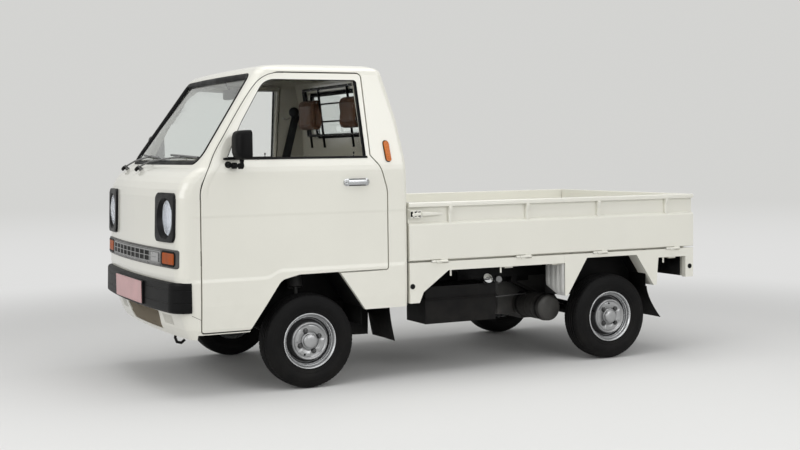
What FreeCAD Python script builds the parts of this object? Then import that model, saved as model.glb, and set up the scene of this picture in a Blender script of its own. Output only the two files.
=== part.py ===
"""Kei truck: a cab-over micro truck with a drop-side load bed, as a parametric document.

Frame: millimetres, X to the truck's left, Y to the rear, Z up. The origin is on the ground, midway
between the ends and the sides. Every driving size is a cell of the spreadsheet "sizes".
"""
import FreeCAD, Part
import math
import os
import sys
from FreeCAD import Vector, Rotation, Placement

doc = FreeCAD.newDocument("kei_truck")

# ---------------------------------------------------------------------------------------------
# Driving sizes
# ---------------------------------------------------------------------------------------------
SIZES = {
    # whole truck
    "overall_length": 3195.0,
    "overall_width": 1395.0,
    "roof_height": 1652.0,
    "wheel_base": 1850.0,
    "front_overhang": 757.5,
    "skin_half_width": 690.0,
    # wheels
    "wheel_track": 1215.0,
    "tyre_radius": 241.0,
    "tyre_width": 147.0,
    "rim_radius": 142.0,
    "rim_width": 114.0,
    "bolt_circle": 110.0,
    "axle_radius": 16.0,
    "running_clearance": 0.1,
    "kingpin_offset": 41.5,
    "kingpin_lean": 17.0,
    # cab
    "nose_setback": 31.5,
    "nose_bow_radius": 6000.0,
    "cab_back": -285.0,
    "belt_height": 1150.0,
    "cab_sill": 312.0,
    "apron_bottom": 288.0,
    "cab_floor": 470.0,
    "seat_box_top": 690.0,
    "seat_box_front": -1095.0,
    "side_wall": 45.0,
    "nose_wall": 60.0,
    "back_wall": 40.0,
    "roof_wall": 34.0,
    "door_skin": 15.0,
    "door_gap": 7.0,
    "door_rebate": 14.0,
    "glass_thick": 5.0,
    # load bed
    "bed_front": -268.0,
    "deck_top": 640.0,
    "deck_thick": 34.0,
    "deck_half_width": 648.0,
    "rail_top": 611.0,
    "rail_bottom": 563.0,
    "gate_bottom": 621.0,
    "gate_top": 928.0,
    "gate_thick": 34.0,
    "gate_clearance": 6.0,
    "hinge_radius": 5.5,
    "hinge_height": 613.0,
    "valance_bottom": 440.0,
    # chassis
    "rail_centre": 330.0,
    "rail_width": 50.0,
    "rail_height": 80.0,
    "front_rail_bottom": 350.0,
    "rear_rail_bottom": 470.0,
    "bumper_bottom": 425.0,
    "bumper_height": 150.0,
}


class Dim:
    """A size: its number, and the spreadsheet formula that gives it."""

    def __init__(self, value, formula):
        self.value = float(value)
        self.formula = formula

    def _with(self, other, sign, value):
        return Dim(value, "(%s %s %s)" % (self.formula, sign, dim(other).formula))

    def __add__(self, other):
        return self._with(other, "+", self.value + float(other))

    def __sub__(self, other):
        return self._with(other, "-", self.value - float(other))

    def __mul__(self, other):
        return self._with(other, "*", self.value * float(other))

    def __truediv__(self, other):
        return self._with(other, "/", self.value / float(other))

    def __radd__(self, other):
        return dim(other) + self

    def __rsub__(self, other):
        return dim(other) - self

    def __rmul__(self, other):
        return dim(other) * self

    def __neg__(self):
        return dim(0.0) - self

    def __float__(self):
        return self.value


def dim(value):
    """A Dim as it is, or a plain number as a Dim."""
    return value if isinstance(value, Dim) else Dim(value, repr(float(value)))


sheet = doc.addObject("Spreadsheet::Sheet", "sizes")
for row, (alias, number) in enumerate(SIZES.items(), 1):
    sheet.set("A%d" % row, alias)
    sheet.set("B%d" % row, repr(number))
    sheet.setAlias("B%d" % row, alias)
doc.recompute()


class Sheet:
    """Each alias of the spreadsheet as a Dim."""

    def __getattr__(self, alias):
        return Dim(sheet.get(alias), "sizes." + alias)


S = Sheet()

HALF_LENGTH = S.overall_length / 2
NOSE = S.nose_setback - HALF_LENGTH              # foremost point of the cab's skin
TAIL = HALF_LENGTH                               # rearmost point of the truck
FRONT_AXLE = S.front_overhang - HALF_LENGTH
REAR_AXLE = FRONT_AXLE + S.wheel_base
WHEEL_X = S.wheel_track / 2
HINGE_OUT = S.overall_width / 2 - S.hinge_radius  # x of the side gates' hinge line
HINGE_BACK = TAIL - S.hinge_radius                # y of the tailgate's hinge line
GATE_FACE = HINGE_OUT - 3.5                       # outer face of a shut side gate
TAIL_FACE = HINGE_BACK - 3.5                      # outer face of the shut tailgate
GATE_INNER = GATE_FACE - S.gate_thick

NODES = []


# ---------------------------------------------------------------------------------------------
# Helpers: parametric primitives
# ---------------------------------------------------------------------------------------------
def bind(obj, prop, size):
    obj.setExpression(prop, dim(size).formula)


def place(obj, x, y, z):
    for letter, size in zip("xyz", (x, y, z)):
        bind(obj, "Placement.Base." + letter, size)


def node(obj, label):
    """Marks obj as a sub-part: its label names its file."""
    obj.Label = label
    NODES.append(obj)
    return obj


def box(name, x, y, z):
    """Block between two corners; x, y and z are (low, high) pairs."""
    obj = doc.addObject("Part::Box", name)
    for prop, (low, high) in zip(("Length", "Width", "Height"), (x, y, z)):
        bind(obj, prop, dim(high) - low)
    place(obj, x[0], y[0], z[0])
    return obj


AXIS_TURN = {
    "x": Rotation(Vector(0, 1, 0), 90),
    "y": Rotation(Vector(1, 0, 0), -90),
    "z": Rotation(),
}


def rod(name, axis, start, radius, length, turn=None):
    """Cylinder from start along +axis, or along an axis given by a Rotation of +Z."""
    obj = doc.addObject("Part::Cylinder", name)
    obj.Placement = Placement(Vector(), turn or AXIS_TURN[axis])
    bind(obj, "Radius", radius)
    bind(obj, "Height", length)
    place(obj, *start)
    return obj


def fuse(name, *parts):
    obj = doc.addObject("Part::MultiFuse", name)
    obj.Shapes = list(parts)
    return obj


def cut(name, base, *tools):
    obj = doc.addObject("Part::Cut", name)
    obj.Base = base
    obj.Tool = tools[0] if len(tools) == 1 else fuse(name + "_tools", *tools)
    return obj


def group(name, *parts):
    """Solids that don't touch, in one sub-part."""
    obj = doc.addObject("Part::Compound", name)
    obj.Links = list(parts)
    return obj


def mirrored(name, source):
    """The same piece on the truck's other side."""
    obj = doc.addObject("Part::Mirroring", name)
    obj.Source = source
    obj.Base = Vector(0, 0, 0)
    obj.Normal = Vector(1, 0, 0)
    return obj


def pair(name, left):
    return group(name, left, mirrored(name + "_right", left))


def fixed(name, shape):
    """A shape worked out with Part's own functions."""
    obj = doc.addObject("Part::Feature", name)
    obj.Shape = shape
    return obj


# ---------------------------------------------------------------------------------------------
# Helpers: sketches and bodies
# ---------------------------------------------------------------------------------------------
def new_body(name):
    return doc.addObject("PartDesign::Body", name)


def origin_plane(body, role):
    return next(f for f in body.Origin.OriginFeatures if f.Role == role)


def arc_through(start, end, radius):
    """Arc of that radius from start to end; a positive radius bulges to the right of the chord."""
    chord = end - start
    sagitta = abs(radius) - math.sqrt(radius ** 2 - (chord.Length / 2) ** 2)
    side = Vector(chord.y, -chord.x, 0).normalize() * math.copysign(sagitta, radius)
    return Part.Arc(start, (start + end) / 2 + side, end)


def sketch(body, role, corners, offset=0.0):
    """Closed outline on an origin plane of body. Each corner is (u, v), or (u, v, radius) where an
    arc of that radius ends there. Every corner is held by two dimensions bound to the spreadsheet."""
    obj = body.newObject("Sketcher::SketchObject", body.Name + "_outline")
    obj.AttachmentSupport = [(origin_plane(body, role), "")]
    obj.MapMode = "FlatFace"
    bind(obj, "AttachmentOffset.Base.z", offset)
    spots = [Vector(float(c[0]), float(c[1]), 0) for c in corners]
    for i, spot in enumerate(spots):
        after = (i + 1) % len(spots)
        if len(corners[after]) == 3:
            obj.addGeometry(arc_through(spot, spots[after], float(corners[after][2])), False)
        else:
            obj.addGeometry(Part.LineSegment(spot, spots[after]), False)
    import Sketcher
    last_end = [2] * len(spots)
    first_end = [1] * len(spots)
    for i in range(len(spots)):
        geometry = obj.Geometry[i]
        if isinstance(geometry, Part.ArcOfCircle) and (geometry.StartPoint - spots[i]).Length > 1e-4:
            first_end[i], last_end[i] = 2, 1
    for i, corner in enumerate(corners):
        after = (i + 1) % len(spots)
        obj.addConstraint(Sketcher.Constraint("Coincident", i, last_end[i], after, first_end[after]))
        for kind, size, axis in (("DistanceX", corner[0], -2), ("DistanceY", corner[1], -1)):
            if not isinstance(size, Dim) and float(size) == 0.0:
                obj.addConstraint(Sketcher.Constraint("PointOnObject", i, first_end[i], axis))
                continue
            index = obj.addConstraint(
                Sketcher.Constraint(kind, -1, 1, i, first_end[i], float(size)))
            obj.setExpression("Constraints[%d]" % index, dim(size).formula)
        if len(corner) == 3:
            before = (i - 1) % len(spots)
            index = obj.addConstraint(Sketcher.Constraint("Radius", before, abs(float(corner[2]))))
    doc.recompute()
    return obj


def pad(body, role, corners, length, offset=0.0, backwards=False):
    """Extrudes an outline along its plane's normal: +Z on XY, -Y on XZ, +X on YZ."""
    feature = body.newObject("PartDesign::Pad", body.Name + "_pad")
    feature.Profile = sketch(body, role, corners, offset)
    bind(feature, "Length", length)
    feature.Reversed = backwards
    doc.recompute()
    return feature


def revolution(body, role, corners, axis="H_Axis"):
    feature = body.newObject("PartDesign::Revolution", body.Name + "_turned")
    feature.Profile = sketch(body, role, corners)
    feature.ReferenceAxis = (feature.Profile[0], [axis])
    feature.Angle = 360
    doc.recompute()
    return feature


def polar_pattern(body, feature, role, count):
    """Repeats a feature round one of the body's origin axes."""
    pattern = body.newObject("PartDesign::PolarPattern", body.Name + "_around")
    pattern.Originals = [feature]
    pattern.Axis = (next(f for f in body.Origin.OriginFeatures if f.Role == role), [""])
    pattern.Angle = 360
    pattern.Occurrences = count
    body.Tip = pattern
    doc.recompute()
    return pattern


# ---------------------------------------------------------------------------------------------
# Helpers: rounded outlines for the cab's panels
# ---------------------------------------------------------------------------------------------
def grown(corners, by):
    """The polygon with every side moved outwards by that much. Corners are (u, v, radius), listed
    clockwise or anticlockwise; convex radii grow and concave ones shrink."""
    flat = [(float(u), float(v), float(r)) for u, v, r in corners]
    area = sum(a[0] * b[1] - b[0] * a[1] for a, b in zip(flat, flat[1:] + flat[:1])) / 2
    by = float(by) * math.copysign(1.0, area)
    result = []
    for i, (u, v, radius) in enumerate(flat):
        before, after = flat[i - 1], flat[(i + 1) % len(flat)]
        one = Vector(u - before[0], v - before[1], 0).normalize()
        two = Vector(after[0] - u, after[1] - v, 0).normalize()
        turn = one.x * two.y - one.y * two.x
        shift_one = Vector(one.y, -one.x, 0) * by
        along = (two.dot(one) - 1) * by / turn if abs(turn) > 1e-6 else 0.0
        spot = Vector(u, v, 0) + shift_one - one * along
        convex = math.copysign(1.0, turn * area)
        result.append((spot.x, spot.y, max(1.0, radius + convex * abs(by) * math.copysign(1, by * area))))
    return result


def rounded_wire(corners, to_space):
    """A closed wire of lines and tangent arcs; to_space puts a (u, v) point in space."""
    flat = [(float(u), float(v), float(r)) for u, v, r in corners]
    ends = []
    for i, (u, v, radius) in enumerate(flat):
        here = Vector(u, v, 0)
        back = Vector(flat[i - 1][0], flat[i - 1][1], 0) - here
        nxt = flat[(i + 1) % len(flat)]
        on = Vector(nxt[0], nxt[1], 0) - here
        half = back.getAngle(on) / 2
        reach = min(radius / math.tan(half), 0.49 * back.Length, 0.49 * on.Length)
        middle = (back.normalize() + on.normalize()).normalize()
        true_radius = reach * math.tan(half)
        peak = here + middle * (true_radius / math.sin(half) - true_radius)
        ends.append((here + back * reach, peak, here + on * reach))
    edges = []
    for i, (start, peak, end) in enumerate(ends):
        following = ends[(i + 1) % len(ends)][0]
        edges.append(Part.Arc(*[to_space(p.x, p.y) for p in (start, peak, end)]).toShape())
        edges.append(Part.LineSegment(to_space(end.x, end.y), to_space(following.x, following.y)).toShape())
    return Part.Wire(edges)


def side_prism(corners, low, high):
    """An outline in the side view, as (y, z, radius) corners, extruded across the truck."""
    wire = rounded_wire(corners, lambda u, v: Vector(float(low), u, v))
    return Part.Face(wire).extrude(Vector(float(high) - float(low), 0, 0))


def front_prism(corners, low, high):
    """An outline in the front view, as (x, z, radius) corners, extruded along the truck."""
    wire = rounded_wire(corners, lambda u, v: Vector(u, float(low), v))
    return Part.Face(wire).extrude(Vector(0, float(high) - float(low), 0))


def block(x, y, z):
    """A plain box shape between two corners."""
    low = Vector(*(float(p[0]) for p in (x, y, z)))
    high = Vector(*(float(p[1]) for p in (x, y, z)))
    return Part.makeBox(*(high - low), low)


def parted(solid, tool):
    """The parts of a solid inside and outside a tool. Where faces graze each other a cut can lose a
    piece, so the two volumes have to add up; if they don't, the tool is shifted by a hair."""
    for hair in (0.0, 0.013, -0.017, 0.031, -0.043):
        shifted = tool.translated(Vector(hair, hair, hair))
        inside, outside = solid.common(shifted), solid.cut(shifted)
        error = abs(inside.Volume + outside.Volume - solid.Volume)
        if error < 5e-4 * solid.Volume and inside.isValid() and outside.isValid():
            return inside, outside
    sys.exit("failed: a cut that loses a piece")


def inside_of(solid, *tools):
    for tool in tools:
        solid = parted(solid, tool)[0]
    return solid


def carved(solid, *tools):
    for tool in tools:
        solid = parted(solid, tool)[1]
    return solid


def flipped(shape):
    return shape.mirror(Vector(0, 0, 0), Vector(1, 0, 0))


def tube(points, radius):
    """A round bar through the points, with round joints at the corners."""
    pieces = []
    for start, end in zip(points, points[1:]):
        pieces.append(Part.makeCylinder(radius, (end - start).Length, start, end - start))
    for spot in points[1:-1]:
        pieces.append(Part.makeSphere(radius, spot))
    return pieces[0].fuse(pieces[1:]) if len(pieces) > 1 else pieces[0]


def both(shape):
    """A shape and its mirror image across the truck's middle."""
    return Part.makeCompound([shape, flipped(shape)])


# ---------------------------------------------------------------------------------------------
# Cab: outer skin as a loft of level sections
# ---------------------------------------------------------------------------------------------
def plan_section(height, front, back, half_width, corner, back_corner, bow=None):
    """Level outline of the cab: bowed front, straight sides and back, round corners."""
    bow = bow or float(S.nose_bow_radius)
    centre_y = front + bow
    corner_y = centre_y - math.sqrt((bow - corner) ** 2 - (half_width - corner) ** 2)
    corner_x = half_width - corner
    scale = bow / (bow - corner)
    touch = Vector(corner_x * scale, centre_y + (corner_y - centre_y) * scale, height)
    small = Vector(corner_x, corner_y, height)
    middle = Vector(half_width, corner_y, height) - small + (touch - small)
    elbow = small + middle.normalize() * corner
    rear = Vector(half_width - back_corner, back, height)
    rear_start = Vector(half_width, back - back_corner, height)
    rear_elbow = Vector(half_width - back_corner, back - back_corner, height) + Vector(
        back_corner, back_corner, 0) * math.sqrt(0.5)
    side_start = Vector(half_width, corner_y, height)
    left = lambda p: Vector(-p.x, p.y, p.z)
    edges = [
        Part.Arc(left(touch), Vector(0, front, height), touch),
        Part.Arc(touch, elbow, side_start),
        Part.LineSegment(side_start, rear_start),
        Part.Arc(rear_start, rear_elbow, rear),
        Part.LineSegment(rear, left(rear)),
        Part.Arc(left(rear), left(rear_elbow), left(rear_start)),
        Part.LineSegment(left(rear_start), left(side_start)),
        Part.Arc(left(side_start), left(elbow), left(touch)),
    ]
    return Part.Wire([edge.toShape() for edge in edges])


def cab_sections():
    """Rows of the skin's loft, from the sill to the roof."""
    nose, back, half = float(NOSE), float(S.cab_back), float(S.skin_half_width)
    sill, belt, roof = float(S.cab_sill), float(S.belt_height), float(S.roof_height)
    hood = belt - 20
    return [
        # height, behind the nose, before the back, in from the side, front corner, back corner
        (float(S.apron_bottom), nose + 79, back, half - 26, 58, 25),
        (sill, nose + 66, back, half - 18, 60, 25),
        (sill + 25, nose + 54, back, half - 10, 62, 30),
        (sill + 140, nose + 18, back, half - 2, 65, 30),
        (sill + 290, nose, back, half, 65, 30),
        (hood - 145, nose + 13, back, half, 65, 30),
        (hood - 105, nose + 22, back, half, 65, 30),
        (hood - 72, nose + 39, back, half, 64, 30),
        (hood - 44, nose + 63, back - 1, half, 62, 30),
        (hood - 20, nose + 93, back - 2, half - 0.5, 60, 30),
        (hood, nose + 126, back - 3, half - 1, 58, 30),
        (belt, nose + 141, back - 5, half - 4, 56, 30),
        (belt + 20, nose + 155, back - 7, half - 8, 54, 30),
        (belt + 210, nose + 290, back - 31, half - 48, 50, 34),
        (roof - 55, nose + 458, back - 87, half - 99, 46, 40),
        (roof - 36, nose + 474, back - 92, half - 106, 48, 44),
        (roof - 20, nose + 500, back - 104, half - 122, 56, 56),
        (roof - 8, nose + 544, back - 130, half - 154, 70, 70),
        (roof, nose + 620, back - 190, half - 230, 90, 90),
    ]


def envelope(side, front=None, back=None, top=None):
    """The cab's skin as a solid, moved inwards by the given depths (outwards if negative)."""
    side = float(side)
    front = side if front is None else float(front)
    back = side if back is None else float(back)
    top = side if top is None else float(top)
    roof_start = float(S.roof_height) - 56
    wires = []
    for height, y_front, y_back, half_width, corner, back_corner in cab_sections():
        drop = top if height > roof_start else 0.0
        if height == float(S.apron_bottom):
            drop = min(0.0, side)
        wires.append(plan_section(
            height - drop, y_front + front, y_back - back, half_width - side,
            max(8.0, corner - side), max(6.0, back_corner - side)))
    return Part.makeLoft(wires, True, True)


def skin_patch(prism, out, depth):
    """The part of a prism that lies between out beyond the skin and depth below it."""
    return carved(inside_of(prism, envelope(-out)), envelope(depth))


# Outlines in the side view, as (y, z, corner radius)
BELT = S.belt_height
DOOR_TOP = S.roof_height - 51
ARCH_TOP = S.rail_bottom + 23
WHEEL_ARCH_FRONT = [
    (FRONT_AXLE - 332, 250, 1), (FRONT_AXLE - 332, 300, 1), (FRONT_AXLE - 156, ARCH_TOP - 23, 60),
    (FRONT_AXLE - 59, ARCH_TOP, 60), (FRONT_AXLE + 162, ARCH_TOP, 18), (FRONT_AXLE + 307, 381, 10),
    (FRONT_AXLE + 307, 250, 1),
]
DOOR_FRONT = FRONT_AXLE - 570
DOOR_REAR = FRONT_AXLE + 432
DOOR = [
    (DOOR_FRONT, S.cab_sill + 12, 12), (DOOR_FRONT + 5, BELT - 118, 140), (DOOR_FRONT + 84, BELT + 31, 60),
    (DOOR_FRONT + 328, BELT + 372, 200), (DOOR_FRONT + 428, DOOR_TOP, 90), (DOOR_REAR - 100, DOOR_TOP, 22),
    (DOOR_REAR - 92, BELT + 28, 10), (DOOR_REAR - 34, BELT - 34, 130), (DOOR_REAR, BELT - 150, 150),
    (DOOR_REAR, ARCH_TOP + 4, 8), (FRONT_AXLE - 59, ARCH_TOP, 60), (FRONT_AXLE - 156, ARCH_TOP - 23, 60),
    (FRONT_AXLE - 320, S.cab_sill + 12, 14),
]
WINDOW = [
    (DOOR_FRONT + 153, BELT + 22, 8), (DOOR_FRONT + 360, BELT + 318, 120),
    (DOOR_FRONT + 462, DOOR_TOP - 34, 90),
    (DOOR_REAR - 126, DOOR_TOP - 34, 16), (DOOR_REAR - 113, BELT + 22, 10),
]
# Outlines in the front view, as (x, z, corner radius), for both halves
WINDSCREEN = [
    (-620, BELT - 6, 60), (620, BELT - 6, 60), (528, S.roof_height - 50, 50), (-528, S.roof_height - 50, 50),
]
REAR_WINDOW = [
    (-440, BELT + 130, 40), (440, BELT + 130, 40), (420, BELT + 395, 40), (-420, BELT + 395, 40),
]
LAMP_X = 536.0
LAMP_Z = BELT - 264
LAMP_BEZEL = [
    (LAMP_X - 136, LAMP_Z - 118, 36), (LAMP_X + 108, LAMP_Z - 118, 36),
    (LAMP_X + 108, LAMP_Z + 123, 36), (LAMP_X - 136, LAMP_Z + 123, 36),
]
GRILLE_LOW = S.bumper_bottom + S.bumper_height + 68
GRILLE = [
    (-668, GRILLE_LOW, 12), (668, GRILLE_LOW, 12), (668, GRILLE_LOW + 90, 12), (-668, GRILLE_LOW + 90, 12),
]
INDICATOR = [
    (478, GRILLE_LOW + 16, 8), (640, GRILLE_LOW + 16, 8),
    (640, GRILLE_LOW + 74, 8), (478, GRILLE_LOW + 74, 8),
]
AIR_INTAKE = [
    (-281, S.apron_bottom + 17, 8), (281, S.apron_bottom + 17, 8), (322, 408, 8), (-322, 408, 8),
]

FAR = 760.0
GASKET = 22.0
SEAL_DEPTH = 22.0
SEAT_GAP = 0.3
GLASS_DEPTH = 9.0


def left_half(shape):
    return inside_of(shape, block((0, FAR), (-1700, 0), (0, 1800)))


def whole(half):
    """A left half and its mirror image as one solid."""
    return half.fuse(flipped(half))


def cab_hollow():
    """The space inside the cab: over the footwell floor, and over the seat box behind it."""
    inside = envelope(S.side_wall, S.nose_wall, S.back_wall, S.roof_wall)
    return carved(inside, block((-FAR, FAR), (-2000, 1), (0, S.cab_floor)),
                  block((-FAR, FAR), (S.seat_box_front, 2), (-1, S.seat_box_top)))


def door_opening():
    """What the left door takes out of the cab: its skin's seat, and a smaller hole behind that."""
    seat = carved(side_prism(grown(DOOR, S.door_gap), 300, FAR), envelope(SEAL_DEPTH))
    hole = carved(side_prism(grown(DOOR, -5), 300, FAR), envelope(S.side_wall + S.door_gap))
    return [seat, hole]


def under_floor():
    """Open space below the cab: footwell underside, centre tunnel, behind the wheel, wheel arch."""
    tunnel = S.rail_centre + 100
    below_floor = S.cab_floor - 40
    return [
        block((-640, 640), (NOSE + 118, FRONT_AXLE - 320), (0, below_floor)),
        block((-tunnel, tunnel), (FRONT_AXLE - 340, 1), (-1, below_floor)),
        block((-tunnel, tunnel), (S.seat_box_front + 40, 2), (-2, S.seat_box_top - 40)),
        block((-640, 640), (FRONT_AXLE + 300, 3), (-3, S.rail_bottom - 3)),
        block((-FAR, FAR), (FRONT_AXLE + 299, 4), (-4, 385)),
        block((-FAR, FAR), (DOOR_FRONT - 18, 5), (-5, S.cab_sill)),
        side_prism(WHEEL_ARCH_FRONT, tunnel, FAR),
    ]


def make_cab():
    lamp = skin_patch(front_prism(grown(LAMP_BEZEL, 0.5), -1700, -1400), 10, 44)
    grille_seat = skin_patch(front_prism(grown(GRILLE, 0.5), -1700, -1400), 10, 24)
    glazing = [front_prism(grown(WINDSCREEN, 0.3), -1500, -900),
               front_prism(grown(REAR_WINDOW, 0.3), -500, -250)]
    intake = front_prism(grown(AIR_INTAKE, 0.3), -1700, -1440)
    half = left_half(envelope(0))
    half = carved(half, cab_hollow(), lamp, *door_opening(), *glazing, grille_seat, intake, *under_floor())
    face = S.skin_half_width - S.door_skin - SEAT_GAP
    stops = [block((face - 12, face), (DOOR_REAR - 8, DOOR_REAR - 2), (z, z + 30)) for z in (640, 960)]
    return whole(half.fuse(stops))


def pane(outline, depth, low, high):
    """Glass that follows the skin, seated in its gasket."""
    slab = front_prism(grown(outline, -GASKET), low, high)
    return carved(inside_of(slab, envelope(depth)), envelope(depth + float(S.glass_thick)))


def gasket(outline, low, high):
    """Rubber frame that holds a pane in the body's opening."""
    ring = front_prism(outline, low, high).cut(front_prism(grown(outline, 0.1 - GASKET), low, high))
    return carved(inside_of(ring, envelope(-4)), envelope(24))


def make_door():
    """Left door: an outer skin with a lip, and a smaller inner box behind it, as thick as the wall."""
    skin = carved(inside_of(side_prism(DOOR, 300, FAR), envelope(0)), envelope(S.door_skin))
    inner = side_prism(grown(DOOR, -float(S.door_rebate)), 300, FAR)
    inner = carved(inside_of(inner, envelope(S.door_skin)), envelope(S.side_wall))
    return carved(skin.fuse(inner), side_prism(WINDOW, 300, FAR))


def make_door_glass():
    depth = float(S.door_skin) + 2
    pane = inside_of(side_prism(WINDOW, 300, FAR), envelope(depth))
    layer = carved(pane, envelope(depth + float(S.glass_thick)))
    return layer


cab = node(fixed("Cab", make_cab()), "cab_body")
node(fixed("Windscreen", pane(WINDSCREEN, GLASS_DEPTH, -1500, -900)), "windscreen")
node(fixed("RearWindow", pane(REAR_WINDOW, GLASS_DEPTH, -500, -250)), "rear_window")
node(fixed("Gaskets", Part.makeCompound(
    [gasket(WINDSCREEN, -1500, -900), gasket(REAR_WINDOW, -500, -250)])), "window_gaskets")
left_door = node(fixed("DoorLeft", make_door()), "door_left")
node(mirrored("DoorRight", left_door), "door_right")
left_glass = node(fixed("DoorGlassLeft", make_door_glass()), "door_glass_left")
node(mirrored("DoorGlassRight", left_glass), "door_glass_right")


# ---------------------------------------------------------------------------------------------
# Nose: lamps, grille, bumper
# ---------------------------------------------------------------------------------------------
LAMP_RADIUS = 90.0


def make_bezel():
    """Black surround that follows the nose, with a round well for the lamp."""
    rim = skin_patch(front_prism(LAMP_BEZEL, -1700, -1400), 13, 43.5)
    inwards = Vector(0, 1, 0)
    well = Part.makeCone(126, LAMP_RADIUS + 0.1, 46, Vector(LAMP_X, float(NOSE) - 10, float(LAMP_Z)), inwards)
    bore = Part.makeCylinder(LAMP_RADIUS + 0.1, 200, Vector(LAMP_X, float(NOSE) - 20, float(LAMP_Z)), inwards)
    window = front_prism(grown(LAMP_BEZEL, -16), -1700, -1400)
    return rim.cut(well.common(window)).cut(bore)


def make_lamp():
    """Sealed beam: a domed lens on a shallow bowl."""
    face = float(NOSE) + 40
    bowl = Part.makeCylinder(LAMP_RADIUS, 10, Vector(LAMP_X, face, float(LAMP_Z)), Vector(0, 1, 0))
    sphere_radius = 210.0
    centre = Vector(LAMP_X, face - 18 + sphere_radius, float(LAMP_Z))
    disc = Part.makeCylinder(LAMP_RADIUS, 40, Vector(LAMP_X, face - 30, float(LAMP_Z)), Vector(0, 1, 0))
    dome = disc.common(Part.makeSphere(sphere_radius, centre)).common(
        block((0, FAR), (-2000, face), (0, 2000)))
    return bowl.fuse(dome).removeSplitter()


bezel = fixed("BezelLeft", make_bezel())
node(pair("Bezels", bezel), "headlamp_bezels")
lamp = fixed("LampLeft", make_lamp())
node(pair("Lamps", lamp), "headlamps")

indicator_seat = skin_patch(front_prism(grown(INDICATOR, 0.3), -1700, -1400), 30, 12)
grille_half = left_half(skin_patch(front_prism(GRILLE, -1700, -1400), 6, 23))
node(fixed("Grille", whole(carved(grille_half, indicator_seat))), "grille_panel")
indicator = fixed("IndicatorLeft", skin_patch(front_prism(INDICATOR, -1700, -1400), 4, 11.7))
side_lamp_outline = [
    (DOOR_REAR, BELT - 3, 14), (DOOR_REAR + 27, BELT - 3, 14),
    (DOOR_REAR + 18, BELT + 103, 14), (DOOR_REAR - 10, BELT + 103, 14),
]
side_lamp = fixed("SideLampLeft", skin_patch(side_prism(side_lamp_outline, 500, FAR), 12, 0))
node(group("AmberLamps", pair("Indicators", indicator), pair("SideLamps", side_lamp)), "amber_lamps")


def make_air_intake():
    """Mesh panel that fills the lower opening: a frame with upright and level bars, set in the skin."""
    panel = skin_patch(front_prism(AIR_INTAKE, -1700, -1440), -6, 12)
    holes = front_prism(grown(AIR_INTAKE, -10), -1650, -1450)
    bars = [block((x - 4, x + 4), (-1700, 0), (0, 500)) for x in range(-285, 300, 30)]
    bars += [block((-FAR, FAR), (-1700, 0), (z - 4, z + 4)) for z in (331, 356, 381)]
    return panel.cut(holes.cut(bars))


node(fixed("AirIntake", make_air_intake()), "air_intake_grille")


def make_bumper():
    """Moulded bumper: follows the nose, wraps round both corners and has softened edges."""
    low, height = float(S.bumper_bottom), float(S.bumper_height)
    half = float(S.skin_half_width) + 4
    rows = [
        # height, back from the truck's foremost point, in from the side
        (low, 15, 8),
        (low + 8, 7, 1),
        (low + 18, 5, 0),
        (low + height - 14, 9, 0),
        (low + height - 4, 13, 2),
        (low + height, 21, 8),
    ]
    wires = [plan_section(z, -float(HALF_LENGTH) + back, -1300, half - side, 92 - side, 10)
             for z, back, side in rows]
    solid = left_half(Part.makeLoft(wires, True, True))
    return whole(carved(solid, block((-FAR, FAR), (float(NOSE) + 104, 0), (0, 2000)), envelope(-0.3)))


bumper = fixed("Bumper", make_bumper())
node(bumper, "front_bumper")


def make_plate():
    """Blank number plate on two packing blocks, screwed to the bumper's face."""
    front, low = -float(HALF_LENGTH), float(S.bumper_bottom)
    plate = front_prism([(-260, low + 16, 8), (260, low + 16, 8), (260, low + 130, 8), (-260, low + 130, 8)],
                        front, front + 2)
    packing = [block((x - 16, x + 16), (front + 1, front + 24), (low + 34, low + 112)) for x in (-180, 180)]
    face = bumper.Shape.translated(Vector(0, -SEAT_GAP, 0))
    return plate.fuse([piece.cut(face) for piece in packing])


node(fixed("NumberPlate", make_plate()), "number_plate")


def make_tow_hook():
    """Hook of round bar under the front end of a chassis rail."""
    x, y, z = float(S.rail_centre), float(NOSE) + 132, float(S.front_rail_bottom)
    spots = [(y + 4, z - SEAT_GAP), (y + 4, z - 34), (y - 12, z - 86),
             (y - 3, z - 110), (y + 20, z - 116), (y + 39, z - 101)]
    bend = [Vector(x, u, v) for u, v in spots]
    return tube(bend, 7)


# ---------------------------------------------------------------------------------------------
# Door fittings
# ---------------------------------------------------------------------------------------------
HANDLE_Z = BELT - 107
handle_grip = box("HandleGrip", (S.skin_half_width + 2, S.skin_half_width + 16),
                  (DOOR_REAR - 232, DOOR_REAR - 106), (HANDLE_Z - 12, HANDLE_Z + 12))
handle_foot_front = box("HandleFootFront", (S.skin_half_width, S.skin_half_width + 10),
                        (DOOR_REAR - 234, DOOR_REAR - 214), (HANDLE_Z - 16, HANDLE_Z + 16))
handle_foot_rear = box("HandleFootRear", (S.skin_half_width, S.skin_half_width + 10),
                       (DOOR_REAR - 128, DOOR_REAR - 100), (HANDLE_Z - 16, HANDLE_Z + 16))
left_handle = node(fuse("HandleLeft", handle_grip, handle_foot_front, handle_foot_rear), "door_handle_left")
node(mirrored("HandleRight", left_handle), "door_handle_right")


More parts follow.
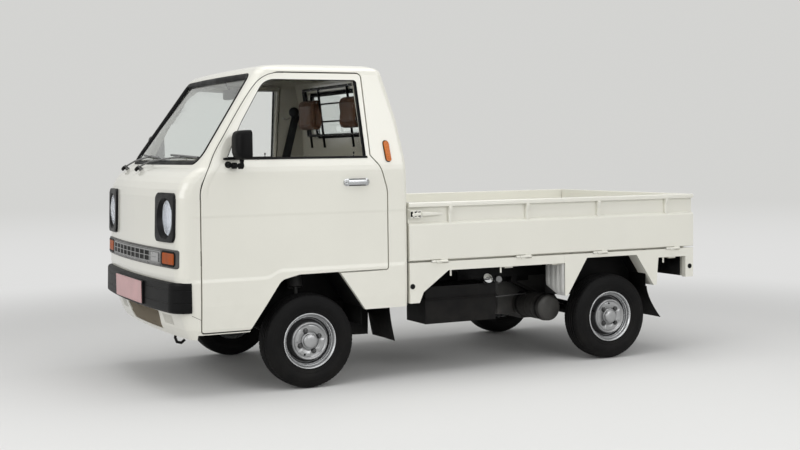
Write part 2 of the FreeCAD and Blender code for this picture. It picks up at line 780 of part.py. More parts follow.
def make_mirror():
    """Door mirror: a deep shell on a short arm, and a foot with two round clamps on the door."""
    front, base = float(DOOR_FRONT), float(BELT)
    outline = [(front + 178, base + 20, 20), (front + 186, base + 160, 30), (front + 226, base + 156, 10),
               (front + 226, base + 24, 10)]
    shell = side_prism(outline, 705, 825)
    arm = Part.makeCylinder(11, 62, Vector(742, front + 190, base - 24))
    clamp = Part.makeCylinder(15, 22, Vector(742, front + 190, base - 20))
    bar = Part.makeCylinder(8, 62, Vector(700, front + 146, base - 9), Vector(42, 44, 0))
    foot = Part.makeCylinder(17, 90, Vector(640, front + 146, base - 9), Vector(1, 0, 0)).cut(envelope(-0.3))
    return shell.fuse([arm, clamp, bar, foot]).removeSplitter()


left_mirror = node(fixed("MirrorLeft", make_mirror()), "mirror_left")
node(mirrored("MirrorRight", left_mirror), "mirror_right")

# ---------------------------------------------------------------------------------------------
# Inside the cab
# ---------------------------------------------------------------------------------------------
inner_lining = envelope(S.side_wall + 0.5, S.nose_wall + 0.5, S.back_wall + 0.5, S.roof_wall + 0.5)


def make_dashboard():
    nose = float(NOSE)
    profile = [(nose + 61, 880, 4), (nose + 61, 1120, 4), (nose + 200, 1104, 30), (nose + 286, 1070, 24),
               (nose + 270, 930, 20), (nose + 150, 880, 20)]
    return whole(inside_of(side_prism(profile, 0, float(S.skin_half_width) - 57), inner_lining))


node(fixed("Dashboard", make_dashboard()), "dashboard")

SEAT_X = 300.0
SEAT_HALF = 225.0


SEAT_TOP = S.seat_box_top
cushion = fixed("CushionLeft", side_prism(
    [(-1020, SEAT_TOP + 0.3, 10), (-1010, SEAT_TOP + 125, 40), (-560, SEAT_TOP + 105, 30),
     (-540, SEAT_TOP + 0.3, 10)], SEAT_X - SEAT_HALF, SEAT_X + SEAT_HALF))
node(pair("Cushions", cushion), "seat_cushions")
backrest = fixed("BackrestLeft", side_prism(
    [(-535, SEAT_TOP + 0.3, 8), (-548, SEAT_TOP + 130, 30),
     (-512, SEAT_TOP + 476, 40), (-432, SEAT_TOP + 476, 30),
     (-412, SEAT_TOP + 0.3, 10)], SEAT_X - SEAT_HALF, SEAT_X + SEAT_HALF))
node(pair("Backrests", backrest), "seat_backs")

# The rear window's guard leans like the cab's back; the head restraints are strapped to its uprights
GUARD_LOW = Vector(0, -374, float(BELT) + 76)
GUARD_HIGH = Vector(0, -413, float(BELT) + 414)
GUARD_BAR = 7.0
UPRIGHT_BAR = 6.0


def on_guard(height):
    """How far back the guard's bars are at a height."""
    share = (height - GUARD_LOW.z) / (GUARD_HIGH.z - GUARD_LOW.z)
    return GUARD_LOW.y + (GUARD_HIGH.y - GUARD_LOW.y) * share


def make_headrest():
    """Pad that lies against two uprights of the guard."""
    low, high, thick = float(BELT) + 176, float(BELT) + 353, 46
    off = UPRIGHT_BAR + SEAT_GAP
    back_low, back_high = on_guard(low) - off, on_guard(high) - off
    return side_prism([(back_low - thick, low, 20), (back_high - thick, high, 30), (back_high, high, 14),
                       (back_low, low, 14)], SEAT_X - 108, SEAT_X + 108)


node(pair("Headrests", fixed("HeadrestLeft", make_headrest())), "headrests")


def make_belt():
    """Seat belt: a flat strap from its guide on the rear pillar down to an anchor on the seat box."""
    top, low = float(BELT) + 262, float(SEAT_TOP) + SEAT_GAP
    strap = side_prism([(-431, top, 2), (-381, top, 2), (-572, low + 6, 2), (-628, low + 6, 2)], 577, 580)
    guide = Part.makeCylinder(25, 60, Vector(562, -406, top + 4), Vector(1, 0, 0)).common(
        envelope(S.side_wall + SEAT_GAP))
    anchor = block((566, 592), (-632, -568), (low, low + 14))
    return strap.fuse([guide, anchor])


node(fixed("SeatBelts", both(make_belt())), "seat_belts")

COLUMN_LEAN = 25.0
column_turn = Rotation(Vector(1, 0, 0), -COLUMN_LEAN)
column_axis = column_turn.multVec(Vector(0, 0, 1))
WHEEL_CENTRE = Vector(-SEAT_X, -1150, 1085)
floor_point = WHEEL_CENTRE - column_axis * ((WHEEL_CENTRE.z - float(S.cab_floor) - 12) / column_axis.z)
column = rod("Column", None, tuple(floor_point), 20, (WHEEL_CENTRE - floor_point).Length - 48, column_turn)
column_foot = box("ColumnFoot", (floor_point.x - 30, floor_point.x + 30),
                  (floor_point.y - 40, floor_point.y + 40), (S.cab_floor, S.cab_floor + 20))
node(fuse("SteeringColumn", column, column_foot), "steering_column")


def make_steering_wheel():
    """Thin-rimmed wheel with two spokes and a horn boss."""
    rim = Part.makeTorus(185, 11)
    boss = Part.makeCylinder(38, 34, Vector(0, 0, -40))
    hub = Part.makeCylinder(16, 40, Vector(0, 0, -47.7))
    spokes = Part.makeBox(360, 30, 8, Vector(-180, -15, -14))
    wheel = rim.fuse([boss, hub, spokes.common(Part.makeCylinder(186, 60, Vector(0, 0, -40)))])
    wheel.Placement = Placement(WHEEL_CENTRE, column_turn)
    return wheel


node(fixed("SteeringWheel", make_steering_wheel()), "steering_wheel")


def make_window_guard():
    """Tube frame inside the rear window, with four long uprights, on stays to the back wall."""
    at = lambda x, height: Vector(x, on_guard(height), height)
    low, high = float(BELT) + 146, GUARD_HIGH.z
    rails = [tube([at(-430, z), at(430, z)], GUARD_BAR) for z in (low, high)]
    ends = [tube([at(x, low), at(x, high)], GUARD_BAR) for x in (-430, 430)]
    corners = [Part.makeSphere(GUARD_BAR, at(x, z)) for x in (-430, 430) for z in (low, high)]
    uprights = [tube([at(x, GUARD_LOW.z), at(x, high)], UPRIGHT_BAR) for x in (-396, -205, 205, 396)]
    levels = [tube([at(-424, z), at(424, z)], 4) for z in (float(BELT) + 224, float(BELT) + 324)]
    stays = [Part.makeCylinder(5.5, 90, at(x, z), Vector(0, 1, 0))
             for x in (-430, 430) for z in (low, high - 30)]
    guard = rails[0].fuse(rails[1:] + ends + corners + uprights + levels + stays)
    return guard.cut(envelope(-60).cut(inner_lining))


node(fixed("WindowGuard", make_window_guard()), "window_guard")


def nose_front(x, z):
    """How far forward the cab's skin is at a place on its front."""
    rows = cab_sections()
    for below, above in zip(rows, rows[1:]):
        if below[0] <= z <= above[0]:
            share = (z - below[0]) / (above[0] - below[0])
            front = below[1] + (above[1] - below[1]) * share
            bow = float(S.nose_bow_radius)
            return front + bow - math.sqrt(bow ** 2 - x ** 2)


def make_wiper(pivot_x, blade_from, blade_to):
    """Wiper at rest along the foot of the windscreen: spindle, arm and blade."""
    base = float(BELT)
    at = lambda x, z, out: Vector(x, nose_front(x, z) - out, z)
    spindle_foot = at(pivot_x, base - 38, -12)
    spindle = Part.makeCylinder(11, 34, spindle_foot, Vector(0, -0.78, 0.62))
    head = spindle_foot + Vector(0, -0.78, 0.62) * 28
    middle = (blade_from + blade_to) / 2
    arm = tube([head, at(pivot_x + 70, base + 12, 16), at(middle, base + 36, 14)], 4.5)
    rest = 8.6 - GLASS_DEPTH
    blade = tube([at(blade_from, base + 44, rest), at(middle, base + 38, rest),
                  at(blade_to, base + 30, rest)], 5.5)
    link = tube([at(middle, base + 37, 14), at(middle, base + 37, rest)], 4)
    return spindle.cut(envelope(-SEAT_GAP)).fuse([arm, blade, link])


wipers = [make_wiper(-590, -430, -50), make_wiper(-196, 150, 566)]
node(fixed("Wipers", Part.makeCompound(wipers)), "wipers")

# ---------------------------------------------------------------------------------------------
# Wheels
# ---------------------------------------------------------------------------------------------
# u runs outwards along the axle from the wheel's centre plane, v is the radius
half_rim = S.rim_width / 2
tyre = new_body("TyreMaster")
half_tyre = S.tyre_width / 2
BEAD = S.rim_radius - 14
revolution(tyre, "XY_Plane", [
    (half_rim - 12, BEAD),
    (half_rim - 9, S.rim_radius + 1),
    (half_rim + 4, S.rim_radius + 4),
    (half_tyre, S.tyre_radius - 58, 60),
    (half_tyre - 17, S.tyre_radius - 8, 70),
    (half_tyre - 30, S.tyre_radius - 0.79, 22),
    (-half_tyre + 30, S.tyre_radius - 0.79, 1200),
    (-half_tyre + 17, S.tyre_radius - 8, 22),
    (-half_tyre, S.tyre_radius - 58, 70),
    (-half_rim - 4, S.rim_radius + 4, 60),
    (-half_rim + 9, S.rim_radius + 1),
    (-half_rim + 12, BEAD),
])

rim = new_body("RimMaster")
BORE = S.axle_radius + S.running_clearance
revolution(rim, "XY_Plane", [
    (half_rim, S.rim_radius),
    (half_rim - 7, S.rim_radius - 2),
    (half_rim - 10, BEAD - 0.3),
    (half_rim - 30, BEAD - 2),
    (half_rim - 38, BEAD - 22),
    (-half_rim + 34, BEAD - 22),
    (-half_rim + 26, BEAD - 2),
    (-half_rim + 10, BEAD - 0.3),
    (-half_rim + 7, S.rim_radius - 2),
    (-half_rim, S.rim_radius),
    (-half_rim - 3, S.rim_radius - 1),
    (-half_rim + 4, BEAD - 6),
    (-half_rim + 24, BEAD - 7),
    (-half_rim + 31, BEAD - 26),
    (half_rim - 52, BEAD - 26),
    (half_rim - 8, BEAD - 36),
    (half_rim - 8, 74),
    (half_rim - 14, 66),
    (half_rim - 14, 44),
    (half_rim - 62, 40),
    (half_rim - 62, BORE),
    (half_rim - 30, BORE),
    (half_rim - 2, 36),
    (half_rim - 8, 44),
    (half_rim - 8, 64),
    (half_rim - 2, 74),
    (half_rim - 2, BEAD - 34),
    (half_rim - 36, BEAD - 26),
    (half_rim - 28, BEAD - 8),
    (half_rim - 5, BEAD - 5),
    (half_rim - 1, S.rim_radius - 4),
    (half_rim + 3, S.rim_radius - 3),
])
BOLT_RADIUS = S.bolt_circle / 2
lug = pad(rim, "YZ_Plane", [
    (BOLT_RADIUS - 9, -9), (BOLT_RADIUS + 9, -9), (BOLT_RADIUS + 9, 9), (BOLT_RADIUS - 9, 9)],
    15, half_rim - 12)
polar_pattern(rim, lug, "X_Axis", 4)
hub_cap = rod("HubCap", "x", (half_rim - 3, 0, 0), 37, 20)
rim_with_cap = fuse("RimWithCap", rim, hub_cap)

CORNERS = [
    # name, side, axle
    ("front_left", 1, FRONT_AXLE),
    ("front_right", -1, FRONT_AXLE),
    ("rear_left", 1, REAR_AXLE),
    ("rear_right", -1, REAR_AXLE),
]
for corner_name, side, axle in CORNERS:
    for master, label in ((tyre, "tyre_"), (rim_with_cap, "rim_")):
        wheel_part = group(label + corner_name, master)
        wheel_part.Placement = Placement(Vector(), Rotation(Vector(0, 0, 1), 0 if side > 0 else 180))
        place(wheel_part, WHEEL_X * side, axle, S.tyre_radius)
        node(wheel_part, label + corner_name)

# ---------------------------------------------------------------------------------------------
# Front suspension and steering knuckles
# ---------------------------------------------------------------------------------------------
lean = math.radians(float(S.kingpin_lean))
king_low = Vector(float(WHEEL_X - S.kingpin_offset), float(FRONT_AXLE), float(S.tyre_radius) - 62)
king_axis = Vector(-math.sin(lean), 0, math.cos(lean))


def on_kingpin(height):
    """The point of the kingpin line at that height."""
    return king_low + king_axis * ((height - king_low.z) / king_axis.z)


def make_knuckle():
    """Stub axle, upright, brake drum and strut; it all steers about the kingpin line."""
    radius, hub = float(S.tyre_radius), float(WHEEL_X)
    y = float(FRONT_AXLE)
    inner = hub - 78
    stub = Part.makeCylinder(float(S.axle_radius), hub + float(half_rim) - 31 - inner,
                             Vector(inner, y, radius), Vector(1, 0, 0))
    drum = Part.makeCylinder(88, 17, Vector(hub - 25, y, radius), Vector(1, 0, 0))
    carrier = Part.makeCylinder(34, 58, Vector(inner, y, radius), Vector(1, 0, 0))
    boss = Part.makeCylinder(12, 36, king_low + king_axis * 24, king_axis)
    strut = Part.makeCylinder(22, 210, king_low + king_axis * 50, king_axis)
    top = on_kingpin(float(ARCH_TOP) - 14)
    rod_length = (top - king_low).Length - 100
    damper = Part.makeCylinder(11, rod_length, king_low + king_axis * 100, king_axis)
    coil_start = on_kingpin(float(S.tyre_radius) * 2 + 16)
    coil = Part.makeCylinder(38, (top - coil_start).Length - 6, coil_start, king_axis)
    return stub.fuse([drum, carrier, boss, strut, damper, coil]).removeSplitter()


left_knuckle = node(fixed("KnuckleLeft", make_knuckle()), "knuckle_left")
node(mirrored("KnuckleRight", left_knuckle), "knuckle_right")


def make_lower_arm():
    """Lower arm from the chassis rail to the ball joint under the knuckle."""
    y = float(FRONT_AXLE)
    inner = Vector(float(S.rail_centre), y, float(S.front_rail_bottom) - 100)
    outer = king_low - king_axis * 6
    arm = tube([inner, outer], 12)
    ball = Part.makeCylinder(10.5, 29.7, outer, king_axis)
    bracket = block((inner.x - 20, inner.x + 20), (y - 24, y + 24), (inner.z - 20, S.front_rail_bottom))
    rail = float(S.front_rail_bottom)
    stay = tube([outer + (inner - outer) * 0.25, Vector(inner.x, y - 260, rail - 14)], 9)
    stay_bracket = block((inner.x - 14, inner.x + 14), (y - 276, y - 244), (rail - 26, rail))
    return arm.fuse([ball, bracket, stay, stay_bracket]).removeSplitter()


arm_shape = make_lower_arm()
node(fixed("LowerArms", both(arm_shape)), "front_lower_arms")
node(fixed("TowHook", make_tow_hook()), "tow_hook")

# ---------------------------------------------------------------------------------------------
# Chassis, engine, tank, rear axle
# ---------------------------------------------------------------------------------------------
rail = new_body("RailLeft")
FRONT_TOP = S.front_rail_bottom + S.rail_height
REAR_TOP = S.rear_rail_bottom + S.rail_height
pad(rail, "YZ_Plane", [
    (NOSE + 126, S.front_rail_bottom), (-300, S.front_rail_bottom), (-60, S.rear_rail_bottom),
    (TAIL - 50, S.rear_rail_bottom), (TAIL - 50, REAR_TOP), (-80, REAR_TOP), (-320, FRONT_TOP),
    (NOSE + 126, FRONT_TOP)], S.rail_width, S.rail_centre - S.rail_width / 2)
cross = []
for y, low in ((NOSE + 140, S.front_rail_bottom), (FRONT_AXLE - 20, S.front_rail_bottom),
               (-360, S.front_rail_bottom), (40, S.rear_rail_bottom), (440, S.rear_rail_bottom),
               (REAR_AXLE + 60, S.rear_rail_bottom), (TAIL - 110, S.rear_rail_bottom)):
    cross.append(box("CrossMember%d" % len(cross), (-S.rail_centre, S.rail_centre), (y, dim(y) + 50),
                     (dim(low) + 12, dim(low) + 68)))
node(fuse("Chassis", rail, mirrored("RailRight", rail), *cross), "chassis_frame")

engine_block = box("EngineBlock", (-270, 270), (500, 880),
                   (S.rear_rail_bottom - 225, S.rear_rail_bottom + 70))
gearbox = box("Gearbox", (-200, 200), (700, 940), (S.rear_rail_bottom - 270, S.rear_rail_bottom - 120))
engine_arms = [box("EngineArm%d" % i, (-(S.rail_centre - S.rail_width / 2), S.rail_centre - S.rail_width / 2),
                   (y, y + 40), (S.rear_rail_bottom + 20, S.rear_rail_bottom + 60))
               for i, y in enumerate((540, 800))]
node(fuse("Engine", engine_block, gearbox, *engine_arms), "engine")

muffler_can = rod("MufflerCan", "x", (372, 668, 300), 74, 190)
muffler_pipe = rod("MufflerPipe", "x", (270, 668, 320), 20, 110)
node(fuse("Muffler", muffler_can, muffler_pipe), "muffler")

tank_body = box("TankBody", (385, 610), (-150, 285), (270, 470))
RAIL_SIDE = S.rail_centre + S.rail_width / 2
tank_strap_a = box("TankStrapFront", (388, 404), (-20, 10), (460, REAR_TOP - 12))
tank_strap_b = box("TankStrapRear", (388, 404), (160, 190), (460, REAR_TOP - 12))
tank_hanger = box("TankHanger", (RAIL_SIDE, 404), (-20, 190), (REAR_TOP - 30, REAR_TOP - 12))
filler_turn = Rotation(Vector(0, 1, 0), 62)
filler_neck = rod("FillerNeck", None, (520, 226, 440), 22, 108, filler_turn)
filler_cap = rod("FillerCap", None, (612, 226, 489), 27, 24, filler_turn)
node(fuse("Tank", tank_body, filler_neck, tank_strap_a, tank_strap_b, tank_hanger), "fuel_tank")
node(cut("FillerCapHollow", filler_cap, filler_neck), "fuel_cap")

axle_tube = rod("AxleTube", "x", (-(WHEEL_X - 60), REAR_AXLE, S.tyre_radius), 30, (WHEEL_X - 60) * 2)
spindle = rod("RearSpindle", "x", (WHEEL_X - 62, REAR_AXLE, S.tyre_radius), S.axle_radius, half_rim + 31)
drum = rod("RearDrum", "x", (WHEEL_X - 56, REAR_AXLE, S.tyre_radius), 88, 38)
spring = new_body("LeafSpring")
SPRING_EYE = S.rear_rail_bottom - 22
SPRING_LOW = S.tyre_radius + 32
pad(spring, "YZ_Plane", [
    (REAR_AXLE - 460, SPRING_EYE - 12), (REAR_AXLE - 250, SPRING_LOW + 56), (REAR_AXLE - 60, SPRING_LOW - 2),
    (REAR_AXLE + 60, SPRING_LOW - 2), (REAR_AXLE + 250, SPRING_LOW + 56), (REAR_AXLE + 460, SPRING_EYE - 12),
    (REAR_AXLE + 460, SPRING_EYE + 4), (REAR_AXLE + 245, SPRING_LOW + 74), (REAR_AXLE + 60, SPRING_LOW + 26),
    (REAR_AXLE - 60, SPRING_LOW + 26), (REAR_AXLE - 245, SPRING_LOW + 74), (REAR_AXLE - 460, SPRING_EYE + 4)],
    50, S.rail_centre - 25)
eyes = [box("SpringHanger%d" % i, (S.rail_centre - 25, S.rail_centre + 25),
            (REAR_AXLE + y - 18, REAR_AXLE + y + 18), (SPRING_EYE - 14, S.rear_rail_bottom))
        for i, y in enumerate((-450, 450))]
left_springs = fuse("SpringLeft", spring, *eyes)
node(fuse("RearAxle", axle_tube, spindle, drum, mirrored("RearSpindleRight", spindle),
          mirrored("RearDrumRight", drum), left_springs, mirrored("SpringRight", left_springs)), "rear_axle")

# ---------------------------------------------------------------------------------------------
# Load bed and gates
# ---------------------------------------------------------------------------------------------
DECK_LOW = S.deck_top - S.deck_thick
BED_SKIN = S.skin_half_width - 2
deck = box("Deck", (-S.deck_half_width, S.deck_half_width),
           (S.bed_front, TAIL_FACE - S.gate_thick - S.gate_clearance), (DECK_LOW, S.deck_top))
side_rail = box("SideRail", (BED_SKIN - 60, BED_SKIN), (-250, TAIL_FACE), (S.rail_bottom, S.rail_top))
front_wall = box("FrontWall", (-S.deck_half_width, S.deck_half_width), (S.bed_front, S.bed_front + 22),
                 (S.deck_top, S.gate_top - 4))
front_cap = box("FrontWallRail", (-S.deck_half_width, S.deck_half_width), (S.bed_front - 4, S.bed_front + 34),
                (S.gate_top - 26, S.gate_top))
sill = new_body("BedSill")
pad(sill, "YZ_Plane", [
    (S.cab_back + 6, 398), (-223, 398), (-199, 454), (-41, S.rail_bottom + 5), (-41, S.rail_top),
    (S.cab_back + 6, S.rail_top)], 33, BED_SKIN - 33)
ARCH_REAR_FRONT = REAR_AXLE - 172
ARCH_REAR_BACK = REAR_AXLE + 171
house = new_body("WheelHouse")
pad(house, "YZ_Plane", [
    (REAR_AXLE - 320, 380), (REAR_AXLE - 302, 380), (ARCH_REAR_FRONT, ARCH_TOP), (ARCH_REAR_BACK, ARCH_TOP),
    (REAR_AXLE + 292, 405), (REAR_AXLE + 312, 405), (REAR_AXLE + 330, S.rail_top),
    (REAR_AXLE - 320, S.rail_top)], 210, BED_SKIN - 210)
valance = box("Valance", (-BED_SKIN, BED_SKIN), (TAIL_FACE - 26, TAIL_FACE), (S.valance_bottom, S.rail_top))
corner_post = box("CornerPost", (BED_SKIN - 33, BED_SKIN), (TAIL_FACE - 56, TAIL_FACE),
                  (S.valance_bottom, S.rail_top))
beams = [box("BedBeam%d" % i, (-(BED_SKIN - 50), BED_SKIN - 50), (y, dim(y) + 50), (REAR_TOP, DECK_LOW))
         for i, y in enumerate((-150, 330, 640, REAR_AXLE + 20, TAIL - 150))]
bed_left = [side_rail, sill, house, corner_post]
arch_cut = new_body("ArchCut")
pad(arch_cut, "YZ_Plane", [
    (REAR_AXLE - 340, 300), (REAR_AXLE - 330, 330), (ARCH_REAR_FRONT, ARCH_TOP), (ARCH_REAR_BACK, ARCH_TOP),
    (REAR_AXLE + 330, 348), (REAR_AXLE + 340, 300)], 300, BED_SKIN - 210)
bed_body = fuse("BedBody", deck, front_wall, front_cap, valance, *beams, *bed_left,
                *[mirrored(p.Name + "Right", p) for p in bed_left])

HINGE_YS = [-115.0, 406.0, 913.0, 1425.0]
hinge_fixed = []
for i, y in enumerate(HINGE_YS):
    hinge_fixed.append(rod("SideHinge%d" % i, "y", (HINGE_OUT, y, S.hinge_height), S.hinge_radius, 22))
    hinge_fixed.append(box("SideHingeLeaf%d" % i, (BED_SKIN - 4, HINGE_OUT), (y, y + 22),
                           (S.hinge_height - 12, S.hinge_height)))
TAIL_HINGE_XS = [-450.0, 0.0, 450.0]
tail_fixed = []
for i, x in enumerate(TAIL_HINGE_XS):
    tail_fixed.append(rod("TailHinge%d" % i, "x", (x, HINGE_BACK, S.hinge_height), S.hinge_radius, 22))
    tail_fixed.append(box("TailHingeLeaf%d" % i, (x, x + 22), (TAIL_FACE - 4, HINGE_BACK),
                          (S.hinge_height - 12, S.hinge_height)))
notches = [box("HingeNotch%d" % i, (HINGE_OUT - S.hinge_radius - 6, BED_SKIN + 20), (y + 22, y + 66),
               (S.hinge_height - S.hinge_radius - 6, S.gate_bottom)) for i, y in enumerate(HINGE_YS)]
tail_notches = [box("TailNotch%d" % i, (x + 22, x + 66), (HINGE_BACK - S.hinge_radius - 6, TAIL_FACE + 20),
                    (S.hinge_height - S.hinge_radius - 6, S.gate_bottom))
                for i, x in enumerate(TAIL_HINGE_XS)]
lamp_pocket = box("TailLampPocket", (530, 660), (TAIL_FACE - 8, TAIL_FACE + 10),
                  (S.valance_bottom + 40, S.valance_bottom + 120))
left_cuts = fuse("BedCutsLeft", arch_cut, lamp_pocket, *notches)
hooks = [rod("RopeHook%d" % i, "z", (BED_SKIN - 12, y, S.rail_bottom - 32), 5, 40)
         for i, y in enumerate((-30, 280, 1378))]
left_trim = fuse("BedFittingsLeft", *hinge_fixed, *hooks)
bed = fuse("LoadBed", cut("BedCut", bed_body, left_cuts, mirrored("BedCutsRight", left_cuts), *tail_notches),
           left_trim, mirrored("BedFittingsRight", left_trim), *tail_fixed)
node(bed, "load_bed")


def gate_profile(face, inner, low, high):
    """Cross-section of a drop gate: flat inside, with a deep lower panel and a rolled top rail."""
    return [
        (inner, low), (face - 4, low), (face, low + 4), (face, low + 186), (face - 4, low + 194),
        (face - 20, low + 202), (face - 20, high - 26), (face + 1, high - 23), (face + 1, high - 5),
        (face - 4, high), (inner + 4, high), (inner, high - 4),
    ]


GATE_START = S.cab_back + S.gate_clearance
gate = new_body("GateLeft")
pad(gate, "XZ_Plane", gate_profile(GATE_FACE, GATE_INNER, S.gate_bottom, S.gate_top),
    TAIL_FACE - GATE_START, -TAIL_FACE)
RIB_YS = [-34.0, 448.0, 920.0, 1394.0]
ribs = [box("GateRib%d" % i, (GATE_FACE - 22, GATE_FACE - 3), (y - 7, y + 7),
            (S.gate_bottom + 190, S.gate_top - 20))
        for i, y in enumerate(RIB_YS)]
knuckles = []
for i, y in enumerate(HINGE_YS):
    knuckles.append(rod("GateKnuckle%d" % i, "y", (HINGE_OUT, y + 22.5, S.hinge_height), S.hinge_radius, 38))
    knuckles.append(box("GateKnuckleLeaf%d" % i, (GATE_FACE - 4, HINGE_OUT), (y + 22.5, y + 60.5),
                        (S.hinge_height, S.hinge_height + 12)))
left_gate = node(fuse("GateLeftAll", gate, *ribs, *knuckles), "gate_left")
node(mirrored("GateRight", left_gate), "gate_right")

tail = new_body("Tailgate")
TAIL_HALF = GATE_INNER - S.gate_clearance
pad(tail, "YZ_Plane", gate_profile(TAIL_FACE, TAIL_FACE - S.gate_thick, S.gate_bottom, S.gate_top),
    TAIL_HALF * 2, -TAIL_HALF)
tail_ribs = [box("TailRib%d" % i, (x - 7, x + 7), (TAIL_FACE - 22, TAIL_FACE - 3),
                 (S.gate_bottom + 190, S.gate_top - 20))
             for i, x in enumerate((-440.0, -150.0, 150.0, 440.0))]
tail_knuckles = []
for i, x in enumerate(TAIL_HINGE_XS):
    tail_knuckles.append(rod("TailKnuckle%d" % i, "x", (x + 22.5, HINGE_BACK, S.hinge_height),
                             S.hinge_radius, 38))
    tail_knuckles.append(box("TailKnuckleLeaf%d" % i, (x + 22.5, x + 60.5), (TAIL_FACE - 4, HINGE_BACK),
                             (S.hinge_height, S.hinge_height + 12)))
node(fuse("TailgateAll", tail, *tail_ribs, *tail_knuckles), "tailgate")

LATCH_Z = S.gate_bottom + 246
latch_plate = box("LatchPlate", (GATE_FACE - 20, GATE_FACE - 12), (GATE_START + 4, GATE_START + 60),
                  (LATCH_Z - 22, LATCH_Z + 22))
latch_lever = box("LatchLever", (GATE_FACE - 12, GATE_FACE - 2), (GATE_START + 30, GATE_START + 150),
                  (LATCH_Z - 8, LATCH_Z + 8))
left_latch = node(fuse("LatchLeft", latch_plate, latch_lever), "gate_latch_left")
node(mirrored("LatchRight", left_latch), "gate_latch_right")
tail_latch_plate = box("TailLatchPlate", (TAIL_HALF - 66, TAIL_HALF - 6), (TAIL_FACE - 20, TAIL_FACE - 12),
                       (LATCH_Z - 22, LATCH_Z + 22))
tail_latch_lever = box("TailLatchLever", (TAIL_HALF - 140, TAIL_HALF - 30), (TAIL_FACE - 12, TAIL_FACE - 2),
                       (LATCH_Z - 8, LATCH_Z + 8))
node(pair("TailLatches", fuse("TailLatch", tail_latch_plate, tail_latch_lever)), "tailgate_latches")

tail_lamp = box("TailLamp", (530.2, 659.8), (TAIL_FACE - 8, TAIL_FACE),
                (S.valance_bottom + 40.2, S.valance_bottom + 119.8))
node(pair("TailLamps", tail_lamp), "tail_lamps")
buffers = group("BuffersLeft",
                rod("BufferFront", "x", (BED_SKIN, S.cab_back + 21, 487), 14, 2),
                rod("BufferRear", "x", (BED_SKIN, TAIL_FACE - 26, 503), 14, 2))
node(pair("Buffers", buffers), "gate_buffers")


def make_flap(top, bottom, low, high):
    """Rubber mud flap that hangs behind a wheel and leans back."""
    thick = 5.0
    outline = [(top[0], top[1], 1), (bottom[0], bottom[1], 1),
               (bottom[0] + thick, bottom[1], 1), (top[0] + thick, top[1], 1)]
    return side_prism(outline, low, high)


front_flap = make_flap((float(FRONT_AXLE) + 318, 384.7), (float(FRONT_AXLE) + 455, 205), 460, 682)
rear_flap = make_flap((float(REAR_AXLE) + 298, 404.7), (float(REAR_AXLE) + 370, 234), 500, 684)
flaps = [shape for flap in (front_flap, rear_flap) for shape in (flap, flipped(flap))]
node(fixed("MudFlaps", Part.makeCompound(flaps)), "mud_flaps")


# ---------------------------------------------------------------------------------------------
# Check and write
# ---------------------------------------------------------------------------------------------
def check_and_export():
    doc.recompute()
    faults = [o.Name for o in doc.Objects if any(s in ("Invalid", "Error") for s in o.State)]
    os.makedirs("parts", exist_ok=True)
    for obj in NODES:
        shape = obj.Shape
        if shape.isNull() or not shape.isValid() or not shape.Solids:
            faults.append("%s (%s)" % (obj.Label, "null" if shape.isNull() else "not valid"))
    if faults:
        sys.exit("failed: " + ", ".join(faults))
    for obj in NODES:
        obj.Shape.exportStep(os.path.join("parts", obj.Label + ".step"))
        print("%-20s %d solids, %.4f m3" % (obj.Label, len(obj.Shape.Solids), obj.Shape.Volume / 1e9))


check_and_export()
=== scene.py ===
# %% [markdown]
# # A kei truck, piece by piece
# This notebook dresses a micro truck whose solid parts already exist as an exact, measured frame. The
# frame gives every place and every size; the work here is what the eye sees: paint, rubber, glass,
# chrome, vinyl, and the small fittings that a plain solid leaves out. Lengths are in metres. +X is the
# truck's left, -Y its front and +Z is up, and the truck stands on z = 0.

# %% Load the measured frame
import math
import bpy
import bmesh
from mathutils import Matrix, Vector


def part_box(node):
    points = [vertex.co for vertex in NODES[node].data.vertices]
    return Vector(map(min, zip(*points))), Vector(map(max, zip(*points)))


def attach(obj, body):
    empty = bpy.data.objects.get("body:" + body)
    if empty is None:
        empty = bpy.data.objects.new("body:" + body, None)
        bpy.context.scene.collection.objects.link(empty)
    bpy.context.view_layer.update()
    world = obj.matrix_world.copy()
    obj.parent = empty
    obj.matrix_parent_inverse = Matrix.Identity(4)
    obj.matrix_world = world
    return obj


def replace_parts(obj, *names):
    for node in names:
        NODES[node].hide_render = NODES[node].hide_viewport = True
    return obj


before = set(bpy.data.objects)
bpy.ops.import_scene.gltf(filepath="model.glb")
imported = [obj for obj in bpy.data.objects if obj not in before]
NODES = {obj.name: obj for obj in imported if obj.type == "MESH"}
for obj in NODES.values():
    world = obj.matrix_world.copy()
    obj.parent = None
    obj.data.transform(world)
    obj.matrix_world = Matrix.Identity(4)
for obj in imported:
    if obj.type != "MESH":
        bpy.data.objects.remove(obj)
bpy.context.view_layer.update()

# %% [markdown]
# ## Camera
# The truck is seen from its left front, at about the height of the door handles, with a lens of some
# 57 mm on a full frame. The far end stays close in size to the near end, which shows the real
# proportions. The camera's axes are built from three angles: heading, pitch and a slight roll.

# %% Set up the camera
def placed(name, data):
    """A new object in the scene for a mesh, lamp or camera."""
    made = bpy.data.objects.new(name, data)
    bpy.context.scene.collection.objects.link(made)
    return made


CAMERA_PLACE = (6.6408, -3.2669, 1.1967)
HEADING, PITCH, ROLL, VIEW_WIDTH = 153.77, -3.30, -0.74, 34.85  # degrees


